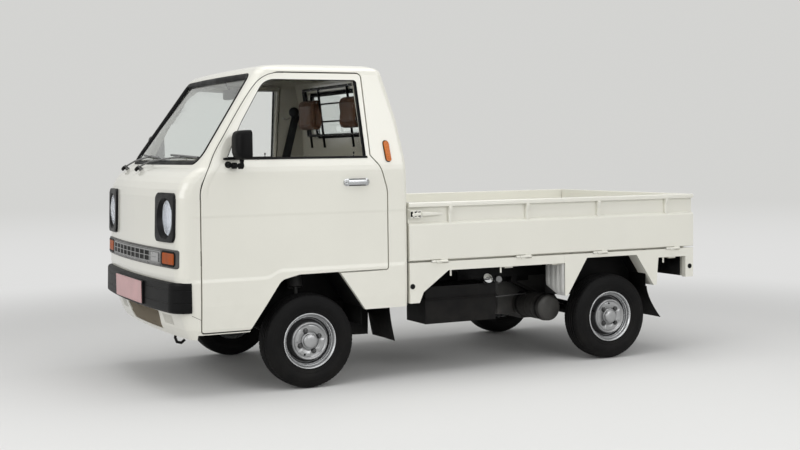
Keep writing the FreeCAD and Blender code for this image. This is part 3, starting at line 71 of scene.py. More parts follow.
def aim_camera(place, heading, pitch, roll, width_angle):
    """A camera at a place, turned by three angles, that sees width_angle from side to side."""
    yaw, tilt, lean = (math.radians(a) for a in (heading, pitch, roll))
    ahead = Vector((math.cos(yaw) * math.cos(tilt), math.sin(yaw) * math.cos(tilt), math.sin(tilt)))
    across = ahead.cross(Vector((0, 0, 1))).normalized()
    above = across.cross(ahead)
    right = across * math.cos(lean) + above * math.sin(lean)
    up = above * math.cos(lean) - across * math.sin(lean)
    camera = placed("studio_camera", bpy.data.cameras.new("studio_camera"))
    camera.matrix_world = Matrix.Translation(place) @ Matrix((right, up, -ahead)).transposed().to_4x4()
    camera.data.sensor_fit = "HORIZONTAL"
    camera.data.angle = math.radians(width_angle)
    camera.data.clip_end = 200
    bpy.context.scene.camera = camera
    return camera


camera = aim_camera(Vector(CAMERA_PLACE), HEADING, PITCH, ROLL, VIEW_WIDTH)
bpy.context.scene.view_settings.view_transform = "Standard"
print("camera at", tuple(round(v, 2) for v in camera.location))

# %% [markdown]
# ## Studio
# A pale floor that melts into a pale background keeps attention on the truck. Near the truck the floor
# is a plain matt surface, so that it catches the soft shadow; further out it turns into the
# background's own tone, so no horizon shows. Light Path makes that tone show only to the camera, to
# reflections and through glass, and it adds no light to the paint.

# %% Small helpers for shader trees
def feed(tree, slot, value):
    """Gives an input a value, or links it to another node's output."""
    if isinstance(value, bpy.types.NodeSocket):
        tree.links.new(value, slot)
    elif value is not None:
        slot.default_value = value


def math_node(tree, operation, a, b=None, clamp=False):
    """A Math node; a and b are outputs or numbers."""
    made = tree.nodes.new("ShaderNodeMath")
    made.operation = operation
    made.use_clamp = clamp
    feed(tree, made.inputs[0], a)
    feed(tree, made.inputs[1], b)
    return made.outputs[0]


def smooth_step(tree, value, low, high, start=0.0, end=1.0):
    """Goes smoothly from start to end while value goes from low to high."""
    made = tree.nodes.new("ShaderNodeMapRange")
    made.interpolation_type = "SMOOTHSTEP"
    for label, item in (("Value", value), ("From Min", low), ("From Max", high), ("To Min", start), ("To Max", end)):
        feed(tree, made.inputs[label], item)
    return made.outputs["Result"]


def mix_colour(tree, share, first, second):
    """The first colour where share is 0, the second where it is 1."""
    made = tree.nodes.new("ShaderNodeMix")
    made.data_type = "RGBA"
    for label, item in (("Factor", share), ("A", first), ("B", second)):
        feed(tree, made.inputs[label], item)
    return made.outputs["Result"]


def mix_shader(tree, share, first, second):
    """One shader turning into a second as the share goes from 0 to 1."""
    made = tree.nodes.new("ShaderNodeMixShader")
    for slot, item in zip(made.inputs, (share, first, second)):
        feed(tree, slot, item)
    return made.outputs[0]


def axes(tree, vector):
    """A vector's X, Y and Z as separate outputs."""
    made = tree.nodes.new("ShaderNodeSeparateXYZ")
    tree.links.new(vector, made.inputs[0])
    return made.outputs


print("shader helpers ready")


# %% Background tone and soft light all round
BACKGROUND = (0.655, 0.655, 0.64)
SKY_STRENGTH = 0.50


def seen_rays(tree):
    """1 for camera, glossy and transmitted rays, 0 for the rest."""
    rays = tree.nodes.new("ShaderNodeLightPath").outputs
    direct = math_node(tree, "MAXIMUM", rays["Is Camera Ray"], rays["Is Glossy Ray"])
    return math_node(tree, "MAXIMUM", direct, rays["Is Transmission Ray"])


world = bpy.data.worlds.new("studio")
bpy.context.scene.world = world
world.use_nodes = True
sky = world.node_tree
soft_light = sky.nodes["Background"]
soft_light.inputs["Color"].default_value = (1.0, 1.0, 1.0, 1)
soft_light.inputs["Strength"].default_value = SKY_STRENGTH
backdrop = sky.nodes.new("ShaderNodeBackground")
backdrop.inputs["Color"].default_value = (*BACKGROUND, 1)
sky.links.new(mix_shader(sky, seen_rays(sky), soft_light.outputs[0], backdrop.outputs[0]),
              sky.nodes["World Output"].inputs["Surface"])
print("background tone", BACKGROUND)


# %% Soft boxes
def soft_box(name, place, target, size, power):
    """A rectangular lamp at a place, turned to a target; power is in watts."""
    lamp = bpy.data.lights.new(name, "AREA")
    lamp.shape = "RECTANGLE"
    lamp.size, lamp.size_y = size
    lamp.energy = power
    box = placed(name, lamp)
    box.location = place
    box.rotation_euler = (Vector(target) - Vector(place)).to_track_quat("-Z", "Y").to_euler()
    return box


soft_box("box_overhead", (0.5, 0.0, 4.6), (0, 0, 0.6), (5.5, 4.5), 110)
soft_box("box_side", (5.5, 1.0, 2.8), (0, 0, 0.8), (4.5, 2.5), 95)
soft_box("box_front", (2.0, -5.5, 2.6), (0, -0.8, 0.8), (4.0, 2.5), 96)

# %% Floor
FLOOR_RADIUS, FLOOR_DROP = 40, 0.0015
FLOOR_TONE = (0.70, 0.70, 0.69, 1)   # the lit part near the truck
FAR_TONE = (0.742, 0.742, 0.735, 1)  # the glowing part beyond it
FADE_OUT, FADE_TO_BACKGROUND = (2.6, 5.5), (6.0, 24.0)

floor_mesh = bpy.data.meshes.new("studio_floor")
disc = bmesh.new()
bmesh.ops.create_circle(disc, cap_ends=True, segments=96, radius=FLOOR_RADIUS)
disc.to_mesh(floor_mesh)
disc.free()
floor = placed("studio_floor", floor_mesh)
floor.location.z = -FLOOR_DROP
floor_finish = bpy.data.materials.new("studio_floor")
floor_finish.use_nodes = True
tree = floor_finish.node_tree
matt = tree.nodes["Principled BSDF"]
matt.inputs["Base Color"].default_value = FLOOR_TONE
matt.inputs["Roughness"].default_value = 0.75
away = tree.nodes.new("ShaderNodeVectorMath")
away.operation = "LENGTH"
tree.links.new(tree.nodes.new("ShaderNodeTexCoord").outputs["Object"], away.inputs[0])
distance = away.outputs["Value"]
glow = tree.nodes.new("ShaderNodeEmission")
tree.links.new(seen_rays(tree), glow.inputs["Strength"])
tree.links.new(mix_colour(tree, smooth_step(tree, distance, *FADE_TO_BACKGROUND), FAR_TONE, (*BACKGROUND, 1)),
               glow.inputs["Color"])
tree.links.new(mix_shader(tree, smooth_step(tree, distance, *FADE_OUT), matt.outputs[0], glow.outputs[0]),
               tree.nodes["Material Output"].inputs["Surface"])
floor_mesh.materials.append(floor_finish)
print("floor radius", FLOOR_RADIUS)

# %% [markdown]
# ## Shared effects
# Real surfaces are never one flat value. A few effects return all over the truck: patches of slightly
# different tone, fine grain, road dust that gathers low down, lines pressed in sheet metal, and a
# woven texture. Each is built once as a node group and placed in many materials with its own numbers.


# %% A small maker of node groups
def new_group(name, gives, **takes):
    """An empty node group: what it puts out, then its inputs with their defaults."""
    group = bpy.data.node_groups.new(name, "ShaderNodeTree")
    for in_out, labels in (("INPUT", takes), ("OUTPUT", gives)):
        for label in labels:
            kind = label if label == "Vector" else "Color" if label.endswith("Color") else "Float"
            socket = group.interface.new_socket(name=label.replace("_", " "), in_out=in_out,
                                                socket_type="NodeSocket" + kind)
            if in_out == "INPUT" and takes[label] is not None:
                socket.default_value = takes[label]
    return group, group.nodes.new("NodeGroupInput").outputs, group.nodes.new("NodeGroupOutput").inputs


def put_out(group, put, **values):
    """Links a group's results to its outputs."""
    for label, value in values.items():
        group.links.new(value, put[label])
    print("group", group.name, "puts out", ", ".join(values))


def noise_node(tree, vector, scale, detail):
    """Smooth noise from 0 to 1; detail is the number of finer layers on top."""
    made = tree.nodes.new("ShaderNodeTexNoise")
    for label, item in (("Vector", vector), ("Scale", scale), ("Detail", detail)):
        feed(tree, made.inputs[label], item)
    return made.outputs["Fac"]


MID_GREY = (0.5, 0.5, 0.5, 1)
print("colour inputs start at", MID_GREY)

# %% Patches: slow change of tone over a surface
patches, given, put = new_group("patches", ("Color", "Mask"), Vector=None, Scale=3.0, Amount=0.1, Color=MID_GREY)
spread = smooth_step(patches, noise_node(patches, given["Vector"], given["Scale"], 5), 0.3, 0.7)
lift = math_node(patches, "MULTIPLY", math_node(patches, "SUBTRACT", spread, 0.5), given["Amount"])
scaled = patches.nodes.new("ShaderNodeVectorMath")
scaled.operation = "SCALE"
patches.links.new(given["Color"], scaled.inputs[0])
patches.links.new(math_node(patches, "ADD", lift, 1.0), scaled.inputs["Scale"])
put_out(patches, put, Color=scaled.outputs[0], Mask=spread)

# %% Grain: the fine unevenness of moulded plastic, sprayed paint and cast metal
grain, given, put = new_group("grain", ("Height", "Mask"), Vector=None, Scale=400.0, Depth=0.0002)
fine = noise_node(grain, given["Vector"], given["Scale"], 3)
put_out(grain, put, Height=math_node(grain, "MULTIPLY", fine, given["Depth"]), Mask=fine)

# %% Dust: a thin tan veil that is thickest near the road
DUST_TAN = (0.34, 0.30, 0.25, 1)
dust, given, put = new_group("dust", ("Color", "Mask"), Vector=None, Color=MID_GREY, Amount=0.3, Top=0.6)
low_down = smooth_step(dust, axes(dust, given["Vector"])["Z"], given["Top"], 0.0)
cloud = smooth_step(dust, noise_node(dust, given["Vector"], 14, 6), 0.35, 0.75)
veil = math_node(dust, "MULTIPLY", math_node(dust, "MULTIPLY", low_down, given["Amount"]),
                 math_node(dust, "ADD", cloud, 0.35), clamp=True)
put_out(dust, put, Color=mix_colour(dust, veil, given["Color"], DUST_TAN), Mask=veil)

# %% Pressed step: sheet metal that steps in or out along a level line
pressed, given, put = new_group("pressed_step", ("Height",), Coordinate=0.0, Line=0.9, Width=0.01, Rise=0.002)
half = math_node(pressed, "MULTIPLY", given["Width"], 0.5)
ramp = smooth_step(pressed, given["Coordinate"], math_node(pressed, "SUBTRACT", given["Line"], half),
                   math_node(pressed, "ADD", given["Line"], half))
put_out(pressed, put, Height=math_node(pressed, "MULTIPLY", ramp, given["Rise"]))

# %% Groove: a narrow channel along a line
groove, given, put = new_group("groove", ("Height", "Mask"), Coordinate=0.0, Line=0.5, Width=0.006, Depth=0.002)
off = math_node(groove, "ABSOLUTE", math_node(groove, "SUBTRACT", given["Coordinate"], given["Line"]))
bank = smooth_step(groove, off, math_node(groove, "MULTIPLY", given["Width"], 0.3), given["Width"], 1.0, 0.0)
sunk = math_node(groove, "MULTIPLY", bank, math_node(groove, "MULTIPLY", given["Depth"], -1.0))
put_out(groove, put, Height=sunk, Mask=bank)

# %% Weave: over-and-under threads for webbing
weave, given, put = new_group("weave", ("Height", "Mask"), Vector=None, Pitch=0.002, Depth=0.0003)
spot = axes(weave, given["Vector"])
turns = math_node(weave, "DIVIDE", 2 * math.pi, given["Pitch"])
warp, weft = (math_node(weave, "SINE", math_node(weave, "MULTIPLY", math_node(weave, way, spot["Y"], spot["Z"]), turns))
              for way in ("ADD", "SUBTRACT"))
cloth = math_node(weave, "MULTIPLY", math_node(weave, "MULTIPLY", warp, weft), 0.5)
cloth = math_node(weave, "ADD", cloth, 0.5)
put_out(weave, put, Height=math_node(weave, "MULTIPLY", cloth, given["Depth"]), Mask=cloth)

# %% [markdown]
# ## Finishes
# Each finish is one Principled shader with its own colour, gloss and relief. Numbers that are the same
# all over, such as coat or transmission, are set on the shader itself; the groups only feed what
# changes from place to place.


# %% Helpers that start a finish and place groups in it
class Finish:
    """A material, its node tree, its Principled shader and the surface's own coordinates."""

    def __init__(self, name, colour, roughness, metallic=0.0, **sockets):
        self.material = bpy.data.materials.new(name)
        self.material.use_nodes = True
        self.tree = self.material.node_tree
        self.shader = self.tree.nodes["Principled BSDF"]
        self.colour = (*colour, 1)
        self.set("Base Color", self.colour)
        self.set("Roughness", roughness)
        self.set("Metallic", metallic)
        for label, value in sockets.items():
            self.set(label.replace("_", " "), value)
        self.place = self.tree.nodes.new("ShaderNodeTexCoord").outputs["Object"]
        self.heights = []

    def set(self, label, value):
        """One value for a socket of the shader."""
        self.shader.inputs[label].default_value = value

    def link(self, output, label):
        """A changing value for a socket of the shader."""
        self.tree.links.new(output, self.shader.inputs[label])

    def add(self, group, **values):
        """Places a group in the finish and returns its outputs."""
        made = self.tree.nodes.new("ShaderNodeGroup")
        made.node_tree = group
        if "Vector" in made.inputs:
            self.tree.links.new(self.place, made.inputs["Vector"])
        for label, value in values.items():
            feed(self.tree, made.inputs[label.replace("_", " ")], value)
        if "Height" in made.outputs:
            self.heights.append(made.outputs["Height"])
        return made.outputs

    def tone(self, scale, amount):
        """Patchy base colour."""
        made = self.add(patches, Scale=scale, Amount=amount, Color=self.colour)
        self.link(made["Color"], "Base Color")
        return made

    def dusty(self, base, amount, top):
        """Road dust over the base colour."""
        made = self.add(dust, Color=base["Color"], Amount=amount, Top=top)
        self.link(made["Color"], "Base Color")
        return made

    def gloss(self, mask, low, high):
        """Roughness that follows a mask."""
        self.link(smooth_step(self.tree, mask, 0.0, 1.0, low, high), "Roughness")

    def relief(self, strength=1.0):
        """All the heights so far, as one bump in metres."""
        total = self.heights[0]
        for height in self.heights[1:]:
            total = math_node(self.tree, "ADD", total, height)
        bump = self.tree.nodes.new("ShaderNodeBump")
        bump.inputs["Strength"].default_value = strength
        bump.inputs["Distance"].default_value = 1.0
        self.tree.links.new(total, bump.inputs["Height"])
        self.link(bump.outputs["Normal"], "Normal")


print("a finish can", [verb for verb in vars(Finish) if not verb.startswith("_")])

# %% [markdown]
# ### Ivory enamel
# The body is sprayed in a warm off-white enamel under a clear gloss. Its tone wanders a little, the
# film has a faint orange peel, and road dust clings near the sills. The cab's sides also carry two
# pressed lines. They are shallow folds of sheet metal, so relief in the material is enough for them.
# A coat of black underseal covers the enamel under the floors, and the cab's inside is painted a darker cream: painted
# shade for the shadow in the cab.
# Both are masks made from the place on the truck, so one skin can carry all three.


# %% Underseal: the black coat inside the wheel arches and under the floors
UNDERSEAL_BLACK = (0.008, 0.008, 0.0082, 1)


def all_true(tree, *tests):
    """1 where every (operation, a, b) test holds."""
    result = math_node(tree, *tests[0])
    for test in tests[1:]:
        result = math_node(tree, "MULTIPLY", result, math_node(tree, *test))
    return result


underseal, given, put = new_group("underseal", ("Color", "Mask"), Vector=None, Color=MID_GREY,
                                  Half_Width=0.65, Top=0.62, Front=-1.4)
spot = axes(underseal, given["Vector"])
coated = all_true(underseal, ("LESS_THAN", math_node(underseal, "ABSOLUTE", spot["X"]), given["Half Width"]),
                  ("LESS_THAN", spot["Z"], given["Top"]), ("GREATER_THAN", spot["Y"], given["Front"]))
put_out(underseal, put, Color=mix_colour(underseal, coated, given["Color"], UNDERSEAL_BLACK), Mask=coated)

# %% Painted shade inside the cab: its inside walls are painted a darker cream
BELT_Z = 1.170                       # the cab's walls lean inwards above this height
SHADE_X, SHADE_LOW, SHADE_HIGH = 0.660, 0.66, 1.624
SHADE_FRONT, SHADE_BACK = -1.342, -0.318
SIDE_LEAN, FRONT_LEAN, BACK_LEAN = 0.2135, 0.711, 0.187

# The darker cream of the inside stands for the shadow in the cab: it is painted shade, not another paint.
cab_shade_group, given, put = new_group("cab_inside_painted_shade", ("Color", "Mask"), Vector=None, Color=MID_GREY,
                               Inside_Color=(0.36, 0.34, 0.28, 1))
spot = axes(cab_shade_group, given["Vector"])
over_belt = math_node(cab_shade_group, "MAXIMUM", math_node(cab_shade_group, "SUBTRACT", spot["Z"], BELT_Z), 0.0)
side_x, front_y, back_y = (
    math_node(cab_shade_group, way, start, math_node(cab_shade_group, "MULTIPLY", over_belt, lean)) for way, start, lean in
    (("SUBTRACT", SHADE_X, SIDE_LEAN), ("ADD", SHADE_FRONT, FRONT_LEAN), ("SUBTRACT", SHADE_BACK, BACK_LEAN)))
inside = all_true(cab_shade_group, ("LESS_THAN", math_node(cab_shade_group, "ABSOLUTE", spot["X"]), side_x),
                  ("LESS_THAN", spot["Z"], SHADE_HIGH), ("GREATER_THAN", spot["Z"], SHADE_LOW),
                  ("GREATER_THAN", spot["Y"], front_y), ("LESS_THAN", spot["Y"], back_y))
put_out(cab_shade_group, put, Color=mix_colour(cab_shade_group, inside, given["Color"], given["Inside Color"]), Mask=inside)

# %% Enamel, plain and with the cab's pressed lines
IVORY, GLOSS_COAT = (0.775, 0.765, 0.69), 0.55
# Height of each pressed line, its width and how far the metal rises across it
WAIST_LINES = ((0.890, 0.016, 0.0016), (1.118, 0.034, -0.0026))
ARCH_LINE = (0.578, 0.612, 0.024, -0.0050)  # low and high end, width and rise


def enamel(name, creases=False, seal=None, paint_inside_shade=False):
    """Ivory paint. seal is (half width, top, front) of the black underseal."""
    finish = Finish(name, IVORY, 0.3, Coat_Weight=GLOSS_COAT, Coat_Roughness=0.06)
    shown = finish.dusty(finish.tone(2.2, 0.035), 0.10, 0.75)
    finish.gloss(shown["Mask"], 0.28, 0.65)
    if seal:
        shown = finish.add(underseal, Color=shown["Color"], Half_Width=seal[0], Top=seal[1], Front=seal[2])
        finish.link(shown["Color"], "Base Color")
        bare = math_node(finish.tree, "SUBTRACT", 1.0, shown["Mask"])
        finish.link(math_node(finish.tree, "MULTIPLY", bare, GLOSS_COAT), "Coat Weight")
    # Inside the cab the cream is darkened as painted shade.
    if paint_inside_shade:
        finish.link(finish.add(cab_shade_group, Color=shown["Color"])["Color"], "Base Color")
    finish.add(grain, Scale=90.0, Depth=0.00012)
    if creases:
        spot = axes(finish.tree, finish.place)
        flank = smooth_step(finish.tree, spot["Y"], -1.50, -1.41)
        arch = smooth_step(finish.tree, spot["Y"], -1.085, -0.985, *ARCH_LINE[:2])
        for line, width, rise in (*WAIST_LINES, (arch, *ARCH_LINE[2:])):
            finish.add(pressed, Coordinate=spot["Z"], Line=line, Width=width,
                       Rise=math_node(finish.tree, "MULTIPLY", flank, rise))
    finish.relief()
    return finish.material


body_enamel = enamel("ivory_enamel")
cab_enamel = enamel("ivory_enamel_creased", creases=True, seal=(0.662, 0.64, -1.40), paint_inside_shade=True)
door_enamel = enamel("ivory_enamel_doors", creases=True, paint_inside_shade=True)
bed_enamel = enamel("ivory_enamel_bed", seal=(0.60, 0.632, -1.0))
print("enamels", body_enamel.name, cab_enamel.name, door_enamel.name, bed_enamel.name)

# %% [markdown]
# ### Rubber, plastic and black metal
# Tyres, seals, bumper and frame are all near black, yet they differ: rubber is matt and slightly grey,
# moulded plastic has a fine pebble grain with a soft shine, and painted iron is smoother.


# %% Dark finishes
def dark(name, colour, roughness, grain_scale, grain_depth, shine=0.5, dirt=0.0, tone=0.25):
    """A matt or satin finish; shine is the level of its mirror-like reflection."""
    finish = Finish(name, colour, roughness, Specular_IOR_Level=shine)
    base = finish.tone(9.0, tone)
    if dirt:
        finish.dusty(base, dirt, 0.7)
    finish.gloss(base["Mask"], roughness - 0.07, roughness + 0.07)
    finish.add(grain, Scale=grain_scale, Depth=grain_depth)
    finish.relief()
    return finish.material


tyre_rubber = dark("tyre_rubber", (0.0047, 0.0047, 0.0050), 0.60, 350.0, 0.00020, dirt=0.012, shine=0.11)
seal_rubber = dark("seal_rubber", (0.0055, 0.0055, 0.0060), 0.45, 500.0, 0.00010, shine=0.12)
pebbled_plastic = dark("pebbled_plastic", (0.0060, 0.0060, 0.0066), 0.42, 900.0, 0.00025, shine=0.14)
lining_plastic = dark("lining_plastic", (0.10, 0.095, 0.085), 0.6, 700.0, 0.0003)
frame_paint = dark("frame_paint", (0.0041, 0.0041, 0.0044), 0.40, 160.0, 0.0003, dirt=0.03, shine=0.12)
flap_rubber = dark("flap_rubber", (0.0039, 0.0039, 0.0041), 0.5, 200.0, 0.0004, dirt=0.02, shine=0.12)
satin_black = dark("satin_black", (0.0044, 0.0044, 0.0050), 0.3, 300.0, 0.00008, shine=0.15)
cast_metal = dark("cast_metal", (0.022, 0.022, 0.021), 0.55, 220.0, 0.0012, dirt=0.10)
belt_finish = Finish("belt_webbing", (0.004, 0.004, 0.0043), 0.75, Specular_IOR_Level=0.12, Sheen_Weight=0.02,
                     Sheen_Roughness=0.4)
belt_finish.tone(40.0, 0.3)
belt_finish.add(weave, Pitch=0.0028, Depth=0.0004)
belt_finish.relief()
webbing = belt_finish.material
print("dark finishes ready")

# %% [markdown]
# ### Bright metal
# Chrome mirrors the studio with almost no blur. The wheels are silver-painted pressed steel, softer and
# slightly uneven; zinc and bare steel underneath are duller still.


# %% Bright finishes
def bright(name, colour, roughness, metallic, grain_scale, grain_depth, shine=0.5, dirt=0.0, tone=0.10):
    """A polished, painted or bare metal finish."""
    finish = Finish(name, colour, roughness, metallic, Specular_IOR_Level=shine)
    base = finish.tone(12.0, tone)
    if dirt:
        finish.dusty(base, dirt, 0.6)
    finish.gloss(base["Mask"], roughness * 0.85, roughness * 1.2)
    finish.add(grain, Scale=grain_scale, Depth=grain_depth)
    finish.relief()
    return finish.material


chrome = bright("chrome", (0.80, 0.81, 0.82), 0.07, 1.0, 60.0, 0.00003)
wheel_silver = bright("wheel_silver", (0.60, 0.61, 0.62), 0.30, 0.75, 320.0, 0.00005, dirt=0.03, tone=0.06)
# The rim's well is painted far darker than its silver face: painted shade for the shadow deep in the rim, with a little
# dust.
rim_well_painted_shade = bright("rim_well_painted_shade", (0.085, 0.085, 0.088), 0.42, 0.8, 320.0, 0.0001, dirt=0.05)
dull_steel = bright("dull_steel", (0.42, 0.41, 0.40), 0.42, 0.9, 260.0, 0.0003, dirt=0.2)
disc_silver = bright("disc_silver", (0.36, 0.365, 0.37), 0.34, 0.75, 320.0, 0.00005, dirt=0.05, tone=0.25)
nut_steel = bright("nut_steel", (0.10, 0.10, 0.10), 0.4, 0.9, 300.0, 0.0002)
handle_chrome = bright("handle_chrome", (0.46, 0.47, 0.48), 0.22, 1.0, 60.0, 0.00004)
silencer_steel = bright("silencer_steel", (0.045, 0.044, 0.042), 0.5, 0.5, 120.0, 0.0006, dirt=0.1)
heat_shield = bright("heat_shield", (0.72, 0.72, 0.70), 0.5, 0.1, 120.0, 0.0006, dirt=0.1)
wiper_silver = bright("wiper_silver", (0.17, 0.17, 0.17), 0.35, 0.6, 300.0, 0.0001)
print("bright finishes ready")

# %% [markdown]
# ### Glass and lenses
# Window glass is clear with a faint green tint. Thick glass would throw a hard black shadow in the cab,
# so shadow rays may pass it. Lamp lenses have moulded flutes: ripples in the surface that bend light.


# %% Clear and coloured glass
SHADOW_PASS = 0.85  # the share of a shadow ray that glass lets through


def glass(name, colour, roughness=0.0, flutes=None, IOR=1.45, through=1.0):
    """Glass; flutes is (axis, pitch, depth) of moulded ripples."""
    finish = Finish(name, colour, roughness, Transmission_Weight=through, IOR=IOR)
    finish.add(grain, Scale=3.0, Depth=0.00002)
    if flutes:
        axis, pitch, depth = flutes
        turns = math_node(finish.tree, "MULTIPLY", axes(finish.tree, finish.place)[axis], 2 * math.pi / pitch)
        finish.heights.append(math_node(finish.tree, "MULTIPLY", math_node(finish.tree, "SINE", turns), depth))
    finish.relief()
    shadow = finish.tree.nodes.new("ShaderNodeLightPath").outputs["Is Shadow Ray"]
    passed = math_node(finish.tree, "MULTIPLY", shadow, SHADOW_PASS)
    finish.link(math_node(finish.tree, "SUBTRACT", 1.0, passed), "Alpha")
    return finish.material


window_glass = glass("window_glass", (0.90, 0.95, 0.93))
door_glass = glass("door_glass", (0.98, 0.99, 0.985), IOR=1.05)
lens_glass = glass("lamp_lens", (0.90, 0.93, 0.97), flutes=("X", 0.012, 0.0007), through=0.72)
amber_lens = glass("amber_lens", (0.72, 0.19, 0.02), 0.12, flutes=("Z", 0.007, 0.0004), through=0.35)
red_lens = glass("red_lens", (0.58, 0.012, 0.010), 0.12, flutes=("Z", 0.007, 0.0004), through=0.35)
print("glass ready")

# %% [markdown]
# ### Vinyl and number plate
# Seats and head restraints wear brown vinyl with a leather-like grain. The number plate is a plain
# enamelled sheet in a dusty red, left blank.

# %% Vinyl and plate enamel
vinyl_finish = Finish("brown_vinyl", (0.074, 0.032, 0.0140), 0.5, Specular_IOR_Level=0.18, Sheen_Weight=0.03,
                      Sheen_Roughness=0.5)
vinyl_finish.gloss(vinyl_finish.tone(18.0, 0.25)["Mask"], 0.42, 0.6)
vinyl_finish.add(grain, Scale=260.0, Depth=0.0007)
vinyl_finish.relief()
seat_vinyl = vinyl_finish.material
visor_vinyl = dark("visor_vinyl", (0.30, 0.28, 0.24), 0.6, 500.0, 0.0002)
plate_finish = Finish("plate_enamel", (0.52, 0.27, 0.27), 0.35, Coat_Weight=0.3)
plate_finish.tone(10.0, 0.12)
plate_finish.add(grain, Scale=200.0, Depth=0.0001)
plate_finish.relief()
plate_enamel = plate_finish.material
print("vinyl and plate ready")

# %% [markdown]
# ## Dressing the frame
# Most of the truck's solid parts have the right shape already, so they only change their finish.

# %% Finish of each frame part
# Each finish and the frame parts that wear it; tyres and rims have their own
DRESSED = (
    (cab_enamel, "cab_body"),
    (door_enamel, "door_left door_right"),
    (bed_enamel, "load_bed"),
    (body_enamel, "gate_left gate_right tailgate gate_latch_left gate_latch_right tailgate_latches"),
    (window_glass, "windscreen rear_window"),
    (door_glass, "door_glass_left door_glass_right"),
    (seal_rubber, "window_gaskets gate_buffers"),
    (lens_glass, "headlamps"),
    (pebbled_plastic, "headlamp_bezels grille_panel air_intake_grille front_bumper mirror_left mirror_right "
                      "steering_column steering_wheel"),
    (amber_lens, "amber_lamps"),
    (chrome, "door_handle_left door_handle_right fuel_cap"),
    (lining_plastic, "dashboard"),
    (seat_vinyl, "seat_cushions seat_backs headrests"),
    (satin_black, "window_guard"),
    (wiper_silver, "wipers"),
    (cast_metal, "knuckle_left knuckle_right engine"),
    (frame_paint, "front_lower_arms chassis_frame fuel_tank rear_axle tow_hook"),
    (dull_steel, "muffler"),
    (red_lens, "tail_lamps"),
    (flap_rubber, "mud_flaps"),
    (plate_enamel, "number_plate"),
    (webbing, "seat_belts"),
)


def wear(mesh, finish):
    """Puts one finish all over a mesh."""
    mesh.materials.clear()
    mesh.materials.append(finish)
    for face in mesh.polygons:
        face.material_index = 0


for name, part in NODES.items():
    wear(part.data, tyre_rubber if name.startswith("tyre") else wheel_silver)
for finish, names in DRESSED:
    for name in names.split():
        wear(NODES[name].data, finish)
print("finished", len(NODES), "frame parts")

# %% [markdown]
# ### Finishes of the nose and the guard
# The nose mixes several near-black and grey parts: moulded panel, silver bars, lamp dishes, and slots painted black as
# painted shade for their openings.
# Each has its own finish, because one shared grey would flatten them. The guard's rods are thin, so a copy grown by
# about a millimetre stands for their thick plastic coat.

# %% Finishes for the nose
lamp_dish = bright("lamp_dish", (0.88, 0.89, 0.92), 0.22, 0.55, 90.0, 0.0004)
bar_silver = bright("bar_silver", (0.40, 0.40, 0.40), 0.3, 0.6, 400.0, 0.00008)
indicator_orange = bright("indicator_orange", (0.36, 0.068, 0.004), 0.4, 0.0, 160.0, 0.0002, tone=0.5, shine=0.2)
grille_silver = bright("grille_silver", (0.030, 0.030, 0.030), 0.38, 0.3, 300.0, 0.00008)
brushed_plate = bright("brushed_plate", (0.40, 0.40, 0.40), 0.3, 0.6, 500.0, 0.00012)
tan_metal = bright("tan_metal", (0.31, 0.265, 0.20), 0.5, 0.2, 300.0, 0.0002, dirt=0.2)
# This black serves black plastic, rubber and dark joints. It is also painted shade where it fills slots, holes and
# openings.
black_and_painted_shade = dark("black_and_painted_shade", (0.0033, 0.0033, 0.0033), 0.5, 300.0, 0.0001, shine=0.10)
panel_grey = dark("panel_grey", (0.065, 0.063, 0.060), 0.45, 700.0, 0.0002, shine=0.4)
mirror_plastic = dark("mirror_plastic", (0.0039, 0.0039, 0.0041), 0.45, 900.0, 0.0002, shine=0.10)
louvre_shade = dark("louvre_shade", (0.42, 0.41, 0.36), 0.5, 200.0, 0.0001)
NODES["grille_panel"].data.materials[0] = panel_grey
print("nose finishes ready")


# %% Guard bars in their plastic coat
GUARD_COAT = 0.0012


def grown_copy(node, name, more, finish):
    """A frame part's copy, a little thicker all round."""
    mesh = NODES[node].data.copy()
    pushed = bmesh.new()
    pushed.from_mesh(mesh)
    bmesh.ops.remove_doubles(pushed, verts=pushed.verts, dist=1e-6)
    pushed.normal_update()
    for point, normal in [(v, v.normal.copy()) for v in pushed.verts]:
        point.co += normal * more
    pushed.to_mesh(mesh)
    pushed.free()
    wear(mesh, finish)
    made = placed(name, mesh)
    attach(made, "truck")
    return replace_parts(made, node)


guard = grown_copy("window_guard", "guard_bars", GUARD_COAT, satin_black)
print("guard faces", len(guard.data.polygons))


# %% Bumper plastic with two moulded grooves
BUMPER_GROOVES = (0.538, 0.475)
bumper_finish = Finish("bumper_plastic", (0.0041, 0.0041, 0.0044), 0.45, Specular_IOR_Level=0.11)
bumper_finish.tone(6.0, 0.3)
for line in BUMPER_GROOVES:
    bumper_finish.add(groove, Coordinate=axes(bumper_finish.tree, bumper_finish.place)["Z"], Line=line,
                      Width=0.0035, Depth=0.0025)
bumper_finish.add(grain, Scale=900.0, Depth=0.0003)
bumper_finish.relief()
NODES["front_bumper"].data.materials[0] = bumper_finish.material
print("bumper grooves at", BUMPER_GROOVES)

# %% [markdown]
# ## Tools for new pieces
# Some parts deserve more shape than the solid frame gives. A few makers cover nearly all of them: turned
# shapes for wheels and lamps, bars that follow a path, mouldings that follow a rounded outline, and small
# boxes with worked edges. Every new piece rides on the body that it moves with.


# %% Millimetres and sides
SIDES = ((1, "left"), (-1, "right"))
DOORS = ((1, "door_left"), (-1, "door_right"))
GATES = ((1, "gate_left"), (-1, "gate_right"))


def mm(x, y, z):
    """A place given in millimetres."""
    return Vector((x, y, z)) * 0.001


def joined(*shapes):
    """Several (points, faces) as one."""
    points, faces = [], []
    for more_points, more_faces in shapes:
        start = len(points)
        points += list(more_points)
        faces += [tuple(start + i for i in face) for face in more_faces]
    return points, faces


def flipped(shape):
    """The same shape on the truck's other side."""
    return [Vector((-p[0], p[1], p[2])) for p in shape[0]], [tuple(reversed(f)) for f in shape[1]]


